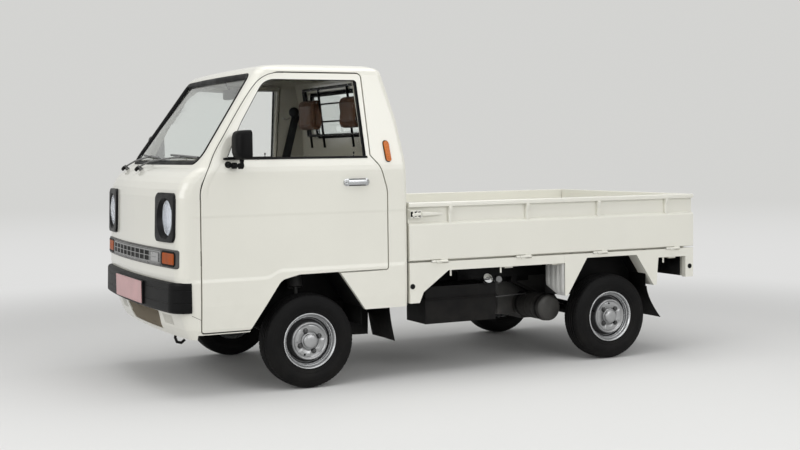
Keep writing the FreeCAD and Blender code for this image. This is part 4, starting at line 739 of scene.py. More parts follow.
def turned(side, shape):
    """A left-hand shape, put on the given side."""
    return shape if side > 0 else flipped(shape)


def both_sides(shape):
    """A shape together with its mirror image on the truck's other side."""
    return joined(shape, flipped(shape))


print("sides", [label for _, label in SIDES])


# %% A piece from points and faces
def mesh_of(name, shape):
    """A plain mesh from (points, faces)."""
    mesh = bpy.data.meshes.new(name)
    mesh.from_pydata([tuple(p) for p in shape[0]], [], shape[1])
    return mesh


def piece(name, shape, finish, body="truck", crease=35.0):
    """A mesh piece that moves with a body. Its edges stay sharp above the crease angle."""
    mesh = mesh_of(name, shape)
    tidy = bmesh.new()
    tidy.from_mesh(mesh)
    bmesh.ops.remove_doubles(tidy, verts=tidy.verts, dist=1e-6)
    bmesh.ops.recalc_face_normals(tidy, faces=tidy.faces)
    for face in tidy.faces:
        face.smooth = True
    tidy.to_mesh(mesh)
    tidy.free()
    mesh.set_sharp_from_angle(angle=math.radians(crease))
    mesh.materials.append(finish)
    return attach(placed(name, mesh), body)


def as_mesh(made):
    """A new mesh with an object's modifiers applied."""
    return bpy.data.meshes.new_from_object(made.evaluated_get(bpy.context.evaluated_depsgraph_get()))


def soften(made, width=0.0015, segments=3):
    """Rounds a piece's sharp edges with a bevel."""
    bevel = made.modifiers.new("worn_edges", "BEVEL")
    bevel.width = width
    bevel.segments = segments
    bevel.limit_method = "ANGLE"
    bevel.angle_limit = math.radians(40)
    bevel.harden_normals = True
    return made


print("materials for pieces so far:", len(bpy.data.materials))

# %% Loft and lathe
def loft(loops, closed=True, caps=(False, False)):
    """Faces between loops that have the same number of points."""
    count = len(loops[0])
    points = [Vector(p) for loop in loops for p in loop]
    faces = []
    for k in range(len(loops) - 1):
        for i in range(count if closed else count - 1):
            j = (i + 1) % count
            faces.append((k * count + i, k * count + j, (k + 1) * count + j, (k + 1) * count + i))
    if caps[0]:
        faces.append(tuple(reversed(range(count))))
    if caps[1]:
        faces.append(tuple((len(loops) - 1) * count + i for i in range(count)))
    return points, faces


def solid(loops):
    """A loft that is closed at both ends."""
    return loft(loops, caps=(True, True))


def frame_of(direction):
    """Two directions square to the given one; the second leans towards up."""
    ahead = Vector(direction).normalized()
    up = Vector((0, 0, 1)) if abs(ahead.z) < 0.95 else Vector((0, 1, 0))
    side = ahead.cross(up).normalized()
    return side, side.cross(ahead).normalized()


def lathe(profile, centre, axis, steps=96, ripple=None, caps=(True, True)):
    """Profile of (along, radius) in millimetres, turned about an axis through centre."""
    ahead = Vector(axis).normalized()
    side, up = frame_of(ahead)
    loops = []
    for along, radius in profile:
        loop = []
        for k in range(steps):
            turn = 2 * math.pi * k / steps
            a, r = ripple(along, radius, turn) if ripple else (along, radius)
            loop.append(Vector(centre) + ahead * a * 0.001 + (side * math.cos(turn) + up * math.sin(turn)) * r * 0.001)
        loops.append(loop)
    return loft(loops, caps=caps)


def ring(profile, centre, axis, steps=96, ripple=None):
    """A lathe that is open at both ends of its profile."""
    return lathe(profile, centre, axis, steps, ripple, caps=(False, False))


print("makers: loft and lathe")


# %% Bars and their sections
def bent_path(points, bend, steps=6):
    """The points with rounded corners."""
    points = [Vector(p) for p in points]
    path = [points[0]]
    for before, here, after in zip(points, points[1:], points[2:]):
        reach = min(bend, (here - before).length * 0.49, (after - here).length * 0.49)
        a = here + (before - here).normalized() * reach
        b = here + (after - here).normalized() * reach
        for k in range(steps + 1):
            t = k / steps
            path.append(a * (1 - t) ** 2 + here * 2 * t * (1 - t) + b * t * t)
    return path + [points[-1]]


def bar(points, section, bend=0.01, up=None, closed=False, steps=6):
    """A bar with a section of (sideways, upwards) points in metres, along a path."""
    path = bent_path(points, bend, steps) if bend else [Vector(p) for p in points]
    loops = []
    for i, here in enumerate(path):
        before = path[i - 1] if i or closed else here
        after = path[(i + 1) % len(path)] if i + 1 < len(path) or closed else here
        ahead = (after - before).normalized()
        if up is None:
            side, lift = frame_of(ahead)
        else:
            side = ahead.cross(Vector(up)).normalized()
            lift = side.cross(ahead).normalized()
        loops.append([here + side * a + lift * b for a, b in section])
    if closed:
        loops.append(loops[0])
    return loft(loops, caps=(not closed, not closed))


def disc_section(radius, sides=14):
    """A round section for a bar."""
    return [(radius * math.cos(2 * math.pi * k / sides), radius * math.sin(2 * math.pi * k / sides))
            for k in range(sides)]


def slab_section(width, height, corner=0.0, steps=3):
    """A rectangle with rounded corners."""
    if not corner:
        return [(-width / 2, -height / 2), (width / 2, -height / 2), (width / 2, height / 2), (-width / 2, height / 2)]
    section = []
    for k, (a, b) in enumerate(((1, -1), (1, 1), (-1, 1), (-1, -1))):
        for s in range(steps + 1):
            turn = math.radians(-90 + 90 * k + 90 * s / steps)
            section.append((a * (width / 2 - corner) + corner * math.cos(turn),
                            b * (height / 2 - corner) + corner * math.sin(turn)))
    return section


print("a slab section has", len(slab_section(1, 1, 0.1)), "points and a disc section", len(disc_section(1)))


# %% Rounded outlines
def rounded(outline, grow=0.0, arc=6, run=6):
    """A closed loop through (u, v, radius) corners in millimetres, moved outwards by grow."""
    corners = [Vector(c[:2]) for c in outline]
    count = len(corners)
    turn = sum(a.x * b.y - a.y * b.x for a, b in zip(corners, corners[1:] + corners[:1]))
    out = 1 if turn > 0 else -1
    moved = []
    for i, here in enumerate(corners):
        first = (here - corners[i - 1]).normalized()
        second = (corners[(i + 1) % count] - here).normalized()
        n1, n2 = Vector((first.y, -first.x)) * out, Vector((second.y, -second.x)) * out
        convex = (first.x * second.y - first.y * second.x) * out > 0
        radius = max(outline[i][2] + (grow if convex else -grow), 0.8)
        moved.append((here + (n1 + n2) * grow / (1 + n1.dot(n2)), radius))
    arcs = []
    for i, (here, radius) in enumerate(moved):
        a = (moved[i - 1][0] - here)
        b = (moved[(i + 1) % count][0] - here)
        half = a.angle(b) / 2
        reach = min(radius / math.tan(half), a.length * 0.49, b.length * 0.49)
        radius = reach * math.tan(half)
        centre = here + (a.normalized() + b.normalized()).normalized() * radius / math.sin(half)
        p, q = here + a.normalized() * reach - centre, here + b.normalized() * reach - centre
        sweep = p.angle(q)
        for k in range(arc + 1):
            t = k / arc
            w = (p * math.sin((1 - t) * sweep) + q * math.sin(t * sweep)) / max(math.sin(sweep), 1e-9)
            arcs.append(centre + w)
    loop = []
    for k, here in enumerate(arcs):
        after = arcs[(k + 1) % len(arcs)]
        loop.append(here)
        if (k + 1) % (arc + 1) == 0:
            loop += [here.lerp(after, s / run) for s in range(1, run)]
    return loop


print("a rounded square has", len(rounded([(0, 0, 1), (9, 0, 1), (9, 9, 1), (0, 9, 1)])), "points")

# %% The cab's skin
# Height, front, back and half width of the skin, in millimetres
CAB_SKIN = [
    (288, -1487, -285, 664), (312, -1500, -285, 672), (337, -1512, -285, 680), (452, -1548, -285, 688),
    (602, -1566, -285, 690), (985, -1553, -285, 690), (1025, -1544, -285, 690), (1058, -1527, -285, 690),
    (1086, -1503, -286, 690), (1110, -1473, -287, 689.5), (1130, -1440, -288, 689), (1150, -1425, -290, 686),
    (1170, -1411, -292, 682), (1360, -1276, -316, 642), (1597, -1108, -372, 591), (1616, -1092, -377, 584),
    (1632, -1066, -389, 568), (1644, -1022, -415, 536), (1652, -946, -475, 460),
]


NOSE_BOW, NOSE_CORNER = 6000, 62  # radii of the nose's bow and of its corners, seen from above


def skin_row(z):
    """The skin's row at a height, between its neighbours."""
    for below, above in zip(CAB_SKIN, CAB_SKIN[1:]):
        if z <= above[0]:
            share = max(0.0, (z - below[0]) / (above[0] - below[0]))
            return [b + (a - b) * share for b, a in zip(below, above)]
    return list(CAB_SKIN[-1])


def on_side(y, z, proud=0.0):
    """A place on the cab's left side."""
    return Vector(((skin_row(z)[3] + proud) * 0.001, y * 0.001, z * 0.001))


def on_nose(x, z, proud=0.0):
    """A place on the cab's front, which bows forward and turns round the corners."""
    row = skin_row(z)
    straight = min(abs(x), row[3] - NOSE_CORNER)
    y = row[1] + NOSE_BOW - math.sqrt(NOSE_BOW ** 2 - straight ** 2)
    past = min(abs(x) - straight, NOSE_CORNER - 0.5)
    inner = math.sqrt(NOSE_CORNER ** 2 - past ** 2)
    y += NOSE_CORNER - inner
    lean = math.atan2(past, inner) * (1 if x > 0 else -1)
    return Vector(((x + proud * math.sin(lean)) * 0.001, (y - proud * math.cos(lean)) * 0.001, z * 0.001))


print("nose at lamp height", tuple(round(v, 3) for v in on_nose(536, 886)))


# %% Mouldings and boxes
def moulding(outline, profile, place, arc=6, run=6):
    """A strip round an outline. profile lists (outwards, proud); place puts (u, v, proud) in space."""
    return loft([[place(p.x, p.y, proud) for p in rounded(outline, grow, arc, run)] for grow, proud in profile])


def level_strip(ends, profile, place, steps=40):
    """A strip from ends[0] to ends[1]. profile lists (v offset, proud)."""
    (u0, v0), (u1, v1) = ends
    loops = []
    for k in range(steps + 1):
        t = k / steps
        loops.append([place(u0 + (u1 - u0) * t, v0 + (v1 - v0) * t + dv, proud) for dv, proud in profile])
    return loft(loops, closed=False)


def box_shape(low, high, taper=0.0):
    """A box between two corners in millimetres; taper pulls in its top."""
    (x0, y0, z0), (x1, y1, z1) = low, high
    t = taper
    points = [(x0, y0, z0), (x1, y0, z0), (x1, y1, z0), (x0, y1, z0),
              (x0 + t, y0 + t, z1), (x1 - t, y0 + t, z1), (x1 - t, y1 - t, z1), (x0 + t, y1 - t, z1)]
    faces = [(3, 2, 1, 0), (4, 5, 6, 7), (0, 1, 5, 4), (1, 2, 6, 5), (2, 3, 7, 6), (3, 0, 4, 7)]
    return [mm(*p) for p in points], faces


print("a box has", len(box_shape((0, 0, 0), (1, 1, 1))[1]), "faces")

# %% [markdown]
# ## Wheels
# Each wheel is a pressed steel rim with a small domed cap, held by four nuts, in a narrow tyre with a plain
# sidewall. Both are turned shapes, so a lathe of a true profile gives every lip, step and groove at its
# real depth. The raised pads between the nuts break that symmetry: they are pushed out of the disc while
# it is turned. The tread's grooves run round the tyre and small notches cut its shoulders.

# %% Tyre
# Side and axle position of each wheel, then the distance of its centre from the middle and its height
WHEEL_PLACES = {"front_left": (1, -840), "front_right": (-1, -840), "rear_left": (1, 1010), "rear_right": (-1, 1010)}
HALF_TRACK, AXLE_HEIGHT = 607.5, 241.0
TYRE_HALF = [
    (54.0, 139.0), (57.0, 144.5), (60.5, 147.5), (61.5, 151.5), (63.0, 156.0), (65.6, 158.0), (67.0, 161.0),
    (67.3, 163.5), (66.9, 165.0), (69.6, 171.0), (71.8, 177.0), (73.0, 183.5), (73.5, 190.0), (73.2, 197.0),
    (71.9, 203.0), (71.9, 204.5), (70.6, 206.0), (69.6, 210.0), (67.4, 217.0), (64.6, 223.5), (62.2, 228.0),
    (60.6, 231.0), (57.6, 234.0), (53.0, 236.6), (47.0, 238.3), (41.0, 239.3), (36.2, 239.9), (34.6, 239.4),
    (33.6, 233.4), (28.4, 233.4), (27.4, 239.9), (26.0, 240.5), (20.0, 240.8), (14.6, 240.9), (13.6, 240.2),
    (12.6, 234.2), (7.6, 234.2), (6.6, 240.3), (5.4, 241.0), (1.6, 241.0),
]
TYRE_PROFILE = TYRE_HALF + [(-u, r) for u, r in reversed(TYRE_HALF)]
NOTCHES, NOTCH_SHARE, NOTCH_DEPTH = 78, 0.24, 2.2
SHOULDER_RADIUS, SHOULDER = 233, (39, 59)


def notched(along, radius, turn):
    """Cuts short notches into the tread's shoulders."""
    share = (turn / (2 * math.pi) * NOTCHES) % 1.0
    if SHOULDER_RADIUS < radius and SHOULDER[0] < abs(along) < SHOULDER[1] and share < NOTCH_SHARE:
        return along, radius - NOTCH_DEPTH
    return along, radius


for place_name, (side, axle_y) in WHEEL_PLACES.items():
    centre = mm(side * HALF_TRACK, axle_y, AXLE_HEIGHT)
    shape = ring(TYRE_PROFILE, centre, (side, 0, 0), NOTCHES * 4, notched)
    tyre = piece("tyre_body_" + place_name, shape, tyre_rubber, "wheel_" + place_name, crease=28)
    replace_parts(tyre, "tyre_" + place_name)
print("tyres", len(WHEEL_PLACES), "with", len(tyre.data.polygons), "faces each")

# %% Rim profiles
LIP_PROFILE = [
    (50.0, 141.6), (55.5, 142.6), (59.0, 142.2), (60.4, 140.3), (60.0, 137.6), (57.4, 135.4), (52.5, 132.6),
    (46.0, 130.2), (38.0, 128.2), (33.0, 127.2), (31.4, 126.0),
]
STEP_PROFILE = [(28.4, 123.6), (30.2, 122.6), (30.4, 121.2), (29.4, 119.8), (26.4, 118.6)]
WELL_PROFILE = [
    (31.4, 126.0), (27.0, 125.0), (26.4, 122.0), (26.4, 118.6), (21.0, 116.0), (13.0, 113.6), (9.0, 111.0),
    (8.0, 107.4), (12.0, 104.0), (22.0, 101.0), (34.0, 98.8), (42.0, 97.8), (48.0, 97.0),
]
BARREL_PROFILE = [
    (50.0, 141.6), (40, 126.5), (28, 125), (12, 110), (-24, 110), (-40, 126.5), (-57, 142), (-59, 141),
    (-42, 124), (-24, 107), (0, 107),
]
DISC_PROFILE = [
    (48.0, 97.0), (53.0, 96.4), (56.4, 95.0), (58.2, 92.8), (58.4, 90.4), (57.0, 87.8), (53.6, 84.8), (51.2, 81.8),
    (50.4, 78.0), (50.2, 74.0), (50.1, 70.0), (50.0, 66.0), (49.9, 62.0), (49.8, 57.0), (49.4, 53.0), (48.4, 50.6),
    (44.4, 49.6), (43.0, 48.2), (43.0, 45.6), (45.0, 44.4), (52.0, 43.8), (54.2, 42.6), (55.0, 40.6), (55.2, 38.4),
    (61.0, 38.0), (65.2, 36.8), (68.6, 34.2), (71.2, 30.2), (73.0, 24.4), (74.2, 17.0), (74.8, 9.0), (75.0, 0.6),
]
print("disc profile", len(DISC_PROFILE), "points")

# %% Rim, cap, nuts and valve
NUT_RING, PAD_RISE = 56.5, 3.4


def pads(nut_turn):
    """Raises four pads between the nuts, which start at nut_turn."""
    def lifted(along, radius, turn):
        """The disc's profile, raised to a flat pad round each nut."""
        if not 52 < radius < 82:
            return along, radius
        gap = abs(((turn - nut_turn + math.pi / 4) % (math.pi / 2)) - math.pi / 4)
        across = min(max((gap - math.radians(17)) / math.radians(4), 0), 1)
        inward = min(max((radius - 57) / 4, 0), 1) * min(max((81 - radius) / 3, 0), 1)
        return along + PAD_RISE * across * inward, radius
    return lifted


# Turn of the first nut, the valve and the vent hole in each wheel, in degrees
WHEEL_MARKS = {"front_left": (157.5, 254, 293), "front_right": (157.5, 254, 293),
               "rear_left": (135.0, 20, 86), "rear_right": (135.0, 20, 86)}
for place_name, (side, axle_y) in WHEEL_PLACES.items():
    centre = mm(side * HALF_TRACK, axle_y, AXLE_HEIGHT)
    outward = Vector((side, 0, 0))
    across, up = frame_of(outward)
    body = "wheel_" + place_name
    nuts_at, valve_at, hole_at = (math.radians(a) for a in WHEEL_MARKS[place_name])

    def spoke(turn, radius, along, heading=outward, sideways=across, lift=up, hub=centre):
        """A point on the wheel from its angle, and its radius and depth in millimetres."""
        return hub + (sideways * math.cos(turn) + lift * math.sin(turn)) * radius * 0.001 + heading * along * 0.001

    lip = ring(LIP_PROFILE, centre, outward, 128)
    step = ring(STEP_PROFILE, centre, outward, 128)
    disc = lathe(DISC_PROFILE, centre, outward, 128, pads(nuts_at), caps=(False, True))
    barrel = ring(BARREL_PROFILE, centre, outward, 96)
    rim = piece("rim_face_" + place_name, joined(lip, step, barrel), wheel_silver, body, crease=40)
    piece("rim_disc_" + place_name, disc, disc_silver, body, crease=40)
    piece("rim_well_" + place_name, ring(WELL_PROFILE, centre, outward, 96), rim_well_painted_shade, body)
    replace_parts(rim, "rim_" + place_name)
    # The black rings at the nut seats paint the shade in their recesses, and the black plug in the vent hole paints the
    # shade seen through it.
    nuts, seats = [], []
    for k in range(4):
        spot = spoke(nuts_at + k * math.pi / 2, NUT_RING, 0)
        seats.append(ring([(48.8, 14.2), (51.2, 14.0), (52.0, 13.0), (51.0, 11.8), (48.8, 11.6)], spot, outward, 24))
        nuts.append(lathe([(48, 10.6), (58.5, 10.6), (61.4, 8.6), (62.0, 6.4), (61.2, 5.2), (58.0, 4.9), (57.4, 0.5)],
                          spot, outward, 6))
    piece("wheel_nuts_" + place_name, joined(*nuts), nut_steel, body, crease=25)
    hole = lathe([(50.2, 5.8), (54.2, 5.6), (54.4, 4.6), (54.2, 3.8), (54.0, 0.4)], spoke(hole_at, 74, 0), outward, 20)
    valve = lathe([(0, 5.2), (8, 4.6), (9, 3.4), (24, 3.2), (24.5, 4.0), (32, 3.9), (33, 2.6), (33, 0.3)],
                  spoke(valve_at, 108, 12), outward - (spoke(valve_at, 1, 0) - centre).normalized() * 0.35, 16)
    piece("wheel_dark_" + place_name, joined(hole, valve, *seats), satin_black, body)
print("rims with", len(rim.data.polygons), "faces and", len(nuts), "nuts each")

# %% [markdown]
# ## Headlamps
# A round sealed beam sits deep in a square black surround. The surround's well is already in the frame;
# what the frame lacks is the lamp's inside. A chromed dish, a bright trim ring and a domed, fluted lens
# in front of it are turned about the lamp's own axis, so light enters, meets the dish and comes back
# broken up by the flutes.

# %% Lens, trim ring and dish
LAMP_X, LAMP_Z, LAMP_Y = 536.0, 886.0, -1525.5
LENS_DOME = [(3.8, 85.4), (8.0, 77.0), (12.0, 64.0), (15.0, 48.0), (17.0, 30.0), (18.0, 12.0), (18.2, 0.4)]
LAMP_PROFILES = {
    "ring": [(-3, 89.8), (2, 89.8), (4, 89.2), (5.2, 88.0), (5.0, 86.8), (3.6, 86.0), (-3, 85.8)],
    "lens": [(0.5, 85.6), *LENS_DOME, (15.2, 0.4), (15.0, 12.0), (14.0, 30.0), (12.0, 48.0), (9.0, 64.0), (5.0, 77.0),
             (0.5, 85.6)],
    "dish": [(-1.0, 85.4), (-3.4, 68.0), (-5.2, 48.0), (-6.2, 30.0), (-6.4, 18.0), (-2.0, 16.0), (2.6, 12.0),
             (4.0, 0.4)],
}
lamp_parts = {
    part: [ring(profile, mm(side * LAMP_X, LAMP_Y, LAMP_Z), (0, -1, 0), 72) for side, _ in SIDES]
    for part, profile in LAMP_PROFILES.items()
}
lamp_lens = piece("headlamp_lenses", joined(*lamp_parts["lens"]), lens_glass)
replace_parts(lamp_lens, "headlamps")
piece("headlamp_rings", joined(*lamp_parts["ring"]), chrome)
piece("headlamp_dishes", joined(*lamp_parts["dish"]), lamp_dish)
print("lamp lens bulges", max(along for along, _ in LENS_DOME), "mm")

# %% [markdown]
# ## Grille
# The grille is a moulded grey panel across the nose. A bright rim frames two rows of slots, which are black strips of
# painted shade for the openings, with a bare metal plate at the end of the rows. The bars are laid on the nose's own
# curve, so the grille bows with the cab.

# %% Slots, bars, rim and plate
RIM = [(-462, 655, 7), (462, 655, 7), (462, 717, 7), (-462, 717, 7)]
SLOT_STEP, SLOT_WIDTH = 84.0, 66
tray_shape = level_strip(((-458, 686), (458, 686)), [(-29, 5.4), (-29, 6.6), (29, 6.6), (29, 5.4)], on_nose)
piece("grille_backing", tray_shape, grille_silver)
# Each slot is a thin black strip on the backing: painted shade for the opening behind it.
slots = []
for row_z, row_h in ((701.0, 10.0), (675.0, 10.5)):
    for k in range(9):
        x = -440 + k * SLOT_STEP
        section = [(-row_h, 6.8), (-row_h, 7.3), (row_h, 7.3), (row_h, 6.8)]
        slots.append(level_strip(((x, row_z), (x + SLOT_WIDTH, row_z)), section, on_nose, steps=4))
piece("grille_slots", joined(*slots), black_and_painted_shade)
bars = [level_strip(((-458, z), (458, z)), [(-h, 6.4), (-h + 0.6, 8.8), (h - 0.6, 8.8), (h, 6.4)], on_nose)
        for z, h in ((660.5, 2.2), (688.2, 1.6), (713.5, 1.6))]
for k in range(10):
    x = -454 + k * SLOT_STEP
    bars.append(level_strip(((x, 687), (x + 10, 687)), [(-26, 6.4), (-26, 8.6), (26, 8.6), (26, 6.4)], on_nose,
                            steps=2))
piece("grille_bars", joined(*bars), bar_silver)
rim_shape = moulding(RIM, [(-1.6, 6.0), (-1.4, 9.4), (-0.6, 9.8), (0.6, 9.8), (1.4, 9.2), (1.6, 6.0)], on_nose, run=24)
outer_rim = moulding(RIM, [(5.2, 6.0), (5.4, 8.6), (6.2, 8.9), (7.0, 8.6), (7.2, 6.0)], on_nose, run=24)
piece("grille_rim", joined(rim_shape, outer_rim), bar_silver)
plate_outline = [(330, 664, 3), (444, 664, 3), (444, 710, 3), (330, 710, 3)]
plate_face = moulding(plate_outline, [(0, 6.0), (0, 10.4), (-1.2, 11.2), (-5, 11.2), (-6, 10.6), (-22.2, 10.6)],
                      on_nose, run=10)
piece("grille_badge_blank", plate_face, brushed_plate)
print("grille slots", len(slots))

# %% Indicator surrounds, lenses and ribs
INDICATOR = [(490, 657, 12), (646, 657, 12), (646, 719, 12), (490, 719, 12)]
near_surround = moulding(INDICATOR, [(7, 5.6), (6.6, 8.0), (4, 9.2), (1.2, 9.0), (-1.4, 7.4), (-3.5, 5.2)], on_nose,
                         run=14)
piece("indicator_surrounds", both_sides(near_surround), black_and_painted_shade)
near_lens = moulding(INDICATOR, [(-3.0, 4.8), (-4.0, 7.2), (-7.0, 8.6), (-14.0, 9.2), (-30.9, 9.2)], on_nose, run=14)
piece("indicator_lenses", both_sides(near_lens), indicator_orange)
near_ribs = joined(*[level_strip(((x, 688), (x + 5, 688)), [(-21, 9.1), (-19, 10.6), (19, 10.6), (21, 9.1)],
                                 on_nose, steps=2) for x in (508, 556, 604)])
piece("indicator_ribs", both_sides(near_ribs), indicator_orange)
print("indicator", INDICATOR[1][0] - INDICATOR[0][0], "by", INDICATOR[2][1] - INDICATOR[1][1], "mm")

# %% [markdown]
# ## Number plate and tray
# The plate is a thin enamelled sheet, left blank, on a black tray that holds it off the bumper. Its edge
# is rolled up into a fine raised border and two screws hold it.

# %% Tray, border and screws
PLATE_Y = -1595.4
TRAY_LOW, TRAY_HIGH = (-262, -1595.2, 439), (268, -1576, 557)
soften(piece("plate_tray", box_shape(TRAY_LOW, TRAY_HIGH), satin_black), 0.003)


def on_plate(x, z, proud):
    """A point some millimetres proud of the number plate's face."""
    return mm(x, PLATE_Y - proud, z)


plate_edge = [(-260, 441, 8), (260, 441, 8), (260, 555, 8), (-260, 555, 8)]
border = moulding(plate_edge, [(-3, 1.9), (-4, 2.1), (-6, 2.1), (-7, 1.9)], on_plate, run=4)
piece("plate_border", border, plate_enamel)
screws = [lathe([(0, 6.5), (1.2, 6.2), (2.0, 4.5), (2.05, 0.4)], mm(x, PLATE_Y, 543), (0, -1, 0), 20)
          for x in (-160, 160)]
piece("plate_screws", joined(*screws), dull_steel)
print("plate tray", TRAY_HIGH[0] - TRAY_LOW[0], "by", TRAY_HIGH[2] - TRAY_LOW[2], "mm")

# %% [markdown]
# ## Air intake
# Below the bumper an opening is closed with expanded metal: a lattice of slanting strands. Strands are
# laid both ways on the nose's curve and trimmed to the opening's sloping sides; a black back paints the shade inside
# the opening and hides what lies behind. Beside it are fine pressed louvres.


# %% Lattice of strands
STRAND_PITCH, INTAKE_MIDDLE = 25.0, 357


def intake_half(z):
    """Half the opening's width at a height."""
    return 281 + (z - 305) * 0.40


strands = []
for slant in (1, -1):
    for k in range(-19, 20):
        reach = []
        for z in range(309, 406, 8):
            x = k * STRAND_PITCH + slant * (z - INTAKE_MIDDLE)
            if abs(x) < intake_half(z) - 5:
                reach.append(on_nose(x, z, -7.0 - 1.2 * slant))
        if len(reach) > 1:
            strands.append(bar([reach[0], reach[-1]], slab_section(0.0018, 0.0048), bend=0, up=(0, -1, 0)))
intake_mesh = piece("intake_strands", joined(*strands), tan_metal)
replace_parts(intake_mesh, "air_intake_grille")
# The black back is painted shade for the dark inside of the opening.
intake_back = level_strip(((-322, INTAKE_MIDDLE), (322, INTAKE_MIDDLE)), [(-54, -14), (54, -14)], on_nose)
piece("intake_back", intake_back, black_and_painted_shade)
INTAKE = [(-281, 305, 10), (281, 305, 10), (322, 408, 10), (-322, 408, 10)]
intake_lip = moulding(INTAKE, [(2, 0.2), (1, 1.4), (-1, 1.4), (-3, -1), (-3.5, -9)], on_nose, run=20)
piece("intake_lip", intake_lip, body_enamel)
louvres = [level_strip(((366, z), (498, z)), [(-1.6, 0.15), (-0.6, 1.5), (1.6, 0.15)], on_nose, steps=12)
           for z in range(353, 397, 6)]
near_louvres = joined(*louvres)
piece("intake_louvres", both_sides(near_louvres), louvre_shade)
print("strands", len(strands))

# %% Apron seam behind the bumper's ends
APRON_SEAM = ((-1462, 413), (-1440, 402), (-1415, 389))
seam = bar([on_side(y, z, 0.2) for y, z in APRON_SEAM], slab_section(0.0016, 0.0008), bend=0.004, up=(1, 0, 0))
piece("apron_seams", both_sides(seam), black_and_painted_shade)
print("seam points", len(APRON_SEAM))

# %% [markdown]
# ## Doors
# On this cab the door's front frame rail is slim and runs close along the windscreen pillar. The solid
# frame's window is a little smaller than that, so each door shell is a copy of the frame's door with a
# larger window cut out of it by a Boolean, and a slim rail is laid over the pillar edge. The rail's outer
# edge follows the door seam and its inner edge follows the glass. It stands one millimetre proud, as a
# pressed door frame does. The glass is a new pane that fills the larger opening.

# %% The door's seam, its window and a cut shell
WINDOW = [(-1268, 1172, 8), (-1186, 1340, 260), (-1038, 1568, 100), (-534, 1568, 16), (-521, 1172, 10)]


def prism_along_x(outline, x_low, x_high):
    """A block across the truck with an outline in (y, z)."""
    loop = rounded(outline)
    return solid([[mm(x, p.x, p.y) for p in loop] for x in (x_low, x_high)])


def cut_shell(name, node, cutter_shape, finish, body):
    """A copy of a frame part with a hole cut through it."""
    shell = placed(name, NODES[node].data.copy())
    mesh = mesh_of(name + "_cutter", cutter_shape)
    outwards = bmesh.new()
    outwards.from_mesh(mesh)
    bmesh.ops.recalc_face_normals(outwards, faces=outwards.faces)
    outwards.to_mesh(mesh)
    outwards.free()
    cutter = placed(name + "_cutter", mesh)
    hole = shell.modifiers.new("window", "BOOLEAN")
    hole.operation = "DIFFERENCE"
    hole.solver = "EXACT"
    hole.object = cutter
    cut = as_mesh(shell)
    shell.modifiers.clear()
    shell.data = cut
    bpy.data.objects.remove(cutter)
    wear(cut, finish)
    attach(shell, body)
    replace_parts(shell, node)
    return shell


for side, body in DOORS:
    shell = cut_shell("shell_" + body, body, turned(side, prism_along_x(WINDOW, 300, 780)), door_enamel, body)
print("door shell faces", len(shell.data.polygons))

# %% Seam and glass edge, as (y, z)
SEAM = [(-1408.5, 975), (-1407, 1003), (-1401, 1033), (-1391, 1062), (-1378, 1094), (-1360, 1134), (-1334, 1190),
        (-1307, 1235), (-1279, 1276), (-1243, 1330), (-1207, 1383), (-1161, 1449), (-1120, 1503), (-1094, 1534),
        (-1068, 1559), (-1042, 1577), (-1011, 1591), (-985, 1597), (-963, 1600), (-930, 1600.5)]
GLASS_EDGE = [(-1374, 975), (-1372, 1003), (-1366, 1036), (-1353, 1068), (-1333, 1102), (-1303, 1144), (-1268, 1180),
              (-1247, 1222), (-1227, 1260), (-1196, 1320), (-1163, 1379), (-1118, 1447), (-1080, 1504),
              (-1059, 1534), (-1040, 1551), (-1022, 1560), (-1001, 1566), (-985, 1567.6), (-963, 1568), (-930, 1568)]

print("seam from", SEAM[0], "to", SEAM[-1])


# %% Smooth runs on the cab's side
def smooth_run(points, steps=5):
    """More points on a smooth curve through the given ones."""
    points = [Vector(p) for p in points]
    run = []
    for i in range(len(points) - 1):
        p0, p1, p2, p3 = points[max(i - 1, 0)], points[i], points[i + 1], points[min(i + 2, len(points) - 1)]
        for k in range(steps):
            t = k / steps
            run.append(0.5 * (2 * p1 + (p2 - p0) * t + (2 * p0 - 5 * p1 + 4 * p2 - p3) * t * t
                              + (3 * p1 - p0 - 3 * p2 + p3) * t ** 3))
    return run + [points[-1]]


seam_run, glass_run = smooth_run(SEAM), smooth_run(GLASS_EDGE)
PILLAR_RADIUS = 52.0


def pillar_side(y, z, proud):
    """The cab's side, which turns in towards the windscreen near its front edge."""
    row = skin_row(z)
    past = max(0.0, min(PILLAR_RADIUS - 1, row[1] + PILLAR_RADIUS - y))
    drop = PILLAR_RADIUS - math.sqrt(PILLAR_RADIUS ** 2 - past ** 2)
    lean = math.asin(past / PILLAR_RADIUS)
    return Vector(((row[3] - drop + proud * math.cos(lean)) * 0.001, (y - proud * math.sin(lean)) * 0.001, z * 0.001))


print("smooth run", len(seam_run), "points")

# %% Frame rail from the seam to the glass
loops = []
for k, (outer, inner) in enumerate(zip(seam_run, glass_run)):
    rise, reveal = min(1.0, k / 9), -14.0 if k > 29 else -0.6
    across = (inner - outer).normalized()
    width = (inner - outer).length
    section = [(0, 0.25), (0.2, 1.0), (1.6, 1.5), (width * 0.5, 1.5), (width - 3.0, 1.5), (width - 1.0, 1.2),
               (width - 0.2, 0.0), (width, reveal), (width - 6, reveal), (width - 8, 0.25)]
    loops.append([pillar_side(*(outer + across * s), proud * rise if proud > 0 else proud) for s, proud in section])
rail = solid(loops)
seam_loops = []
for k, here in enumerate(seam_run):
    before, after = seam_run[max(k - 1, 0)], seam_run[min(k + 1, len(seam_run) - 1)]
    ahead = (after - before).normalized()
    out = Vector((-ahead.y, ahead.x))
    seam_loops.append([pillar_side(*(here + out * s), proud)
                       for s, proud in ((-1.0, 0.3), (-1.0, 0.5), (3.6, 0.5), (3.6, 0.3))])
seam_line = solid(seam_loops)
for side, body in DOORS:
    piece("frame_rail_" + body, turned(side, rail), door_enamel, body, crease=50)
piece("pillar_seams", both_sides(seam_line), black_and_painted_shade)
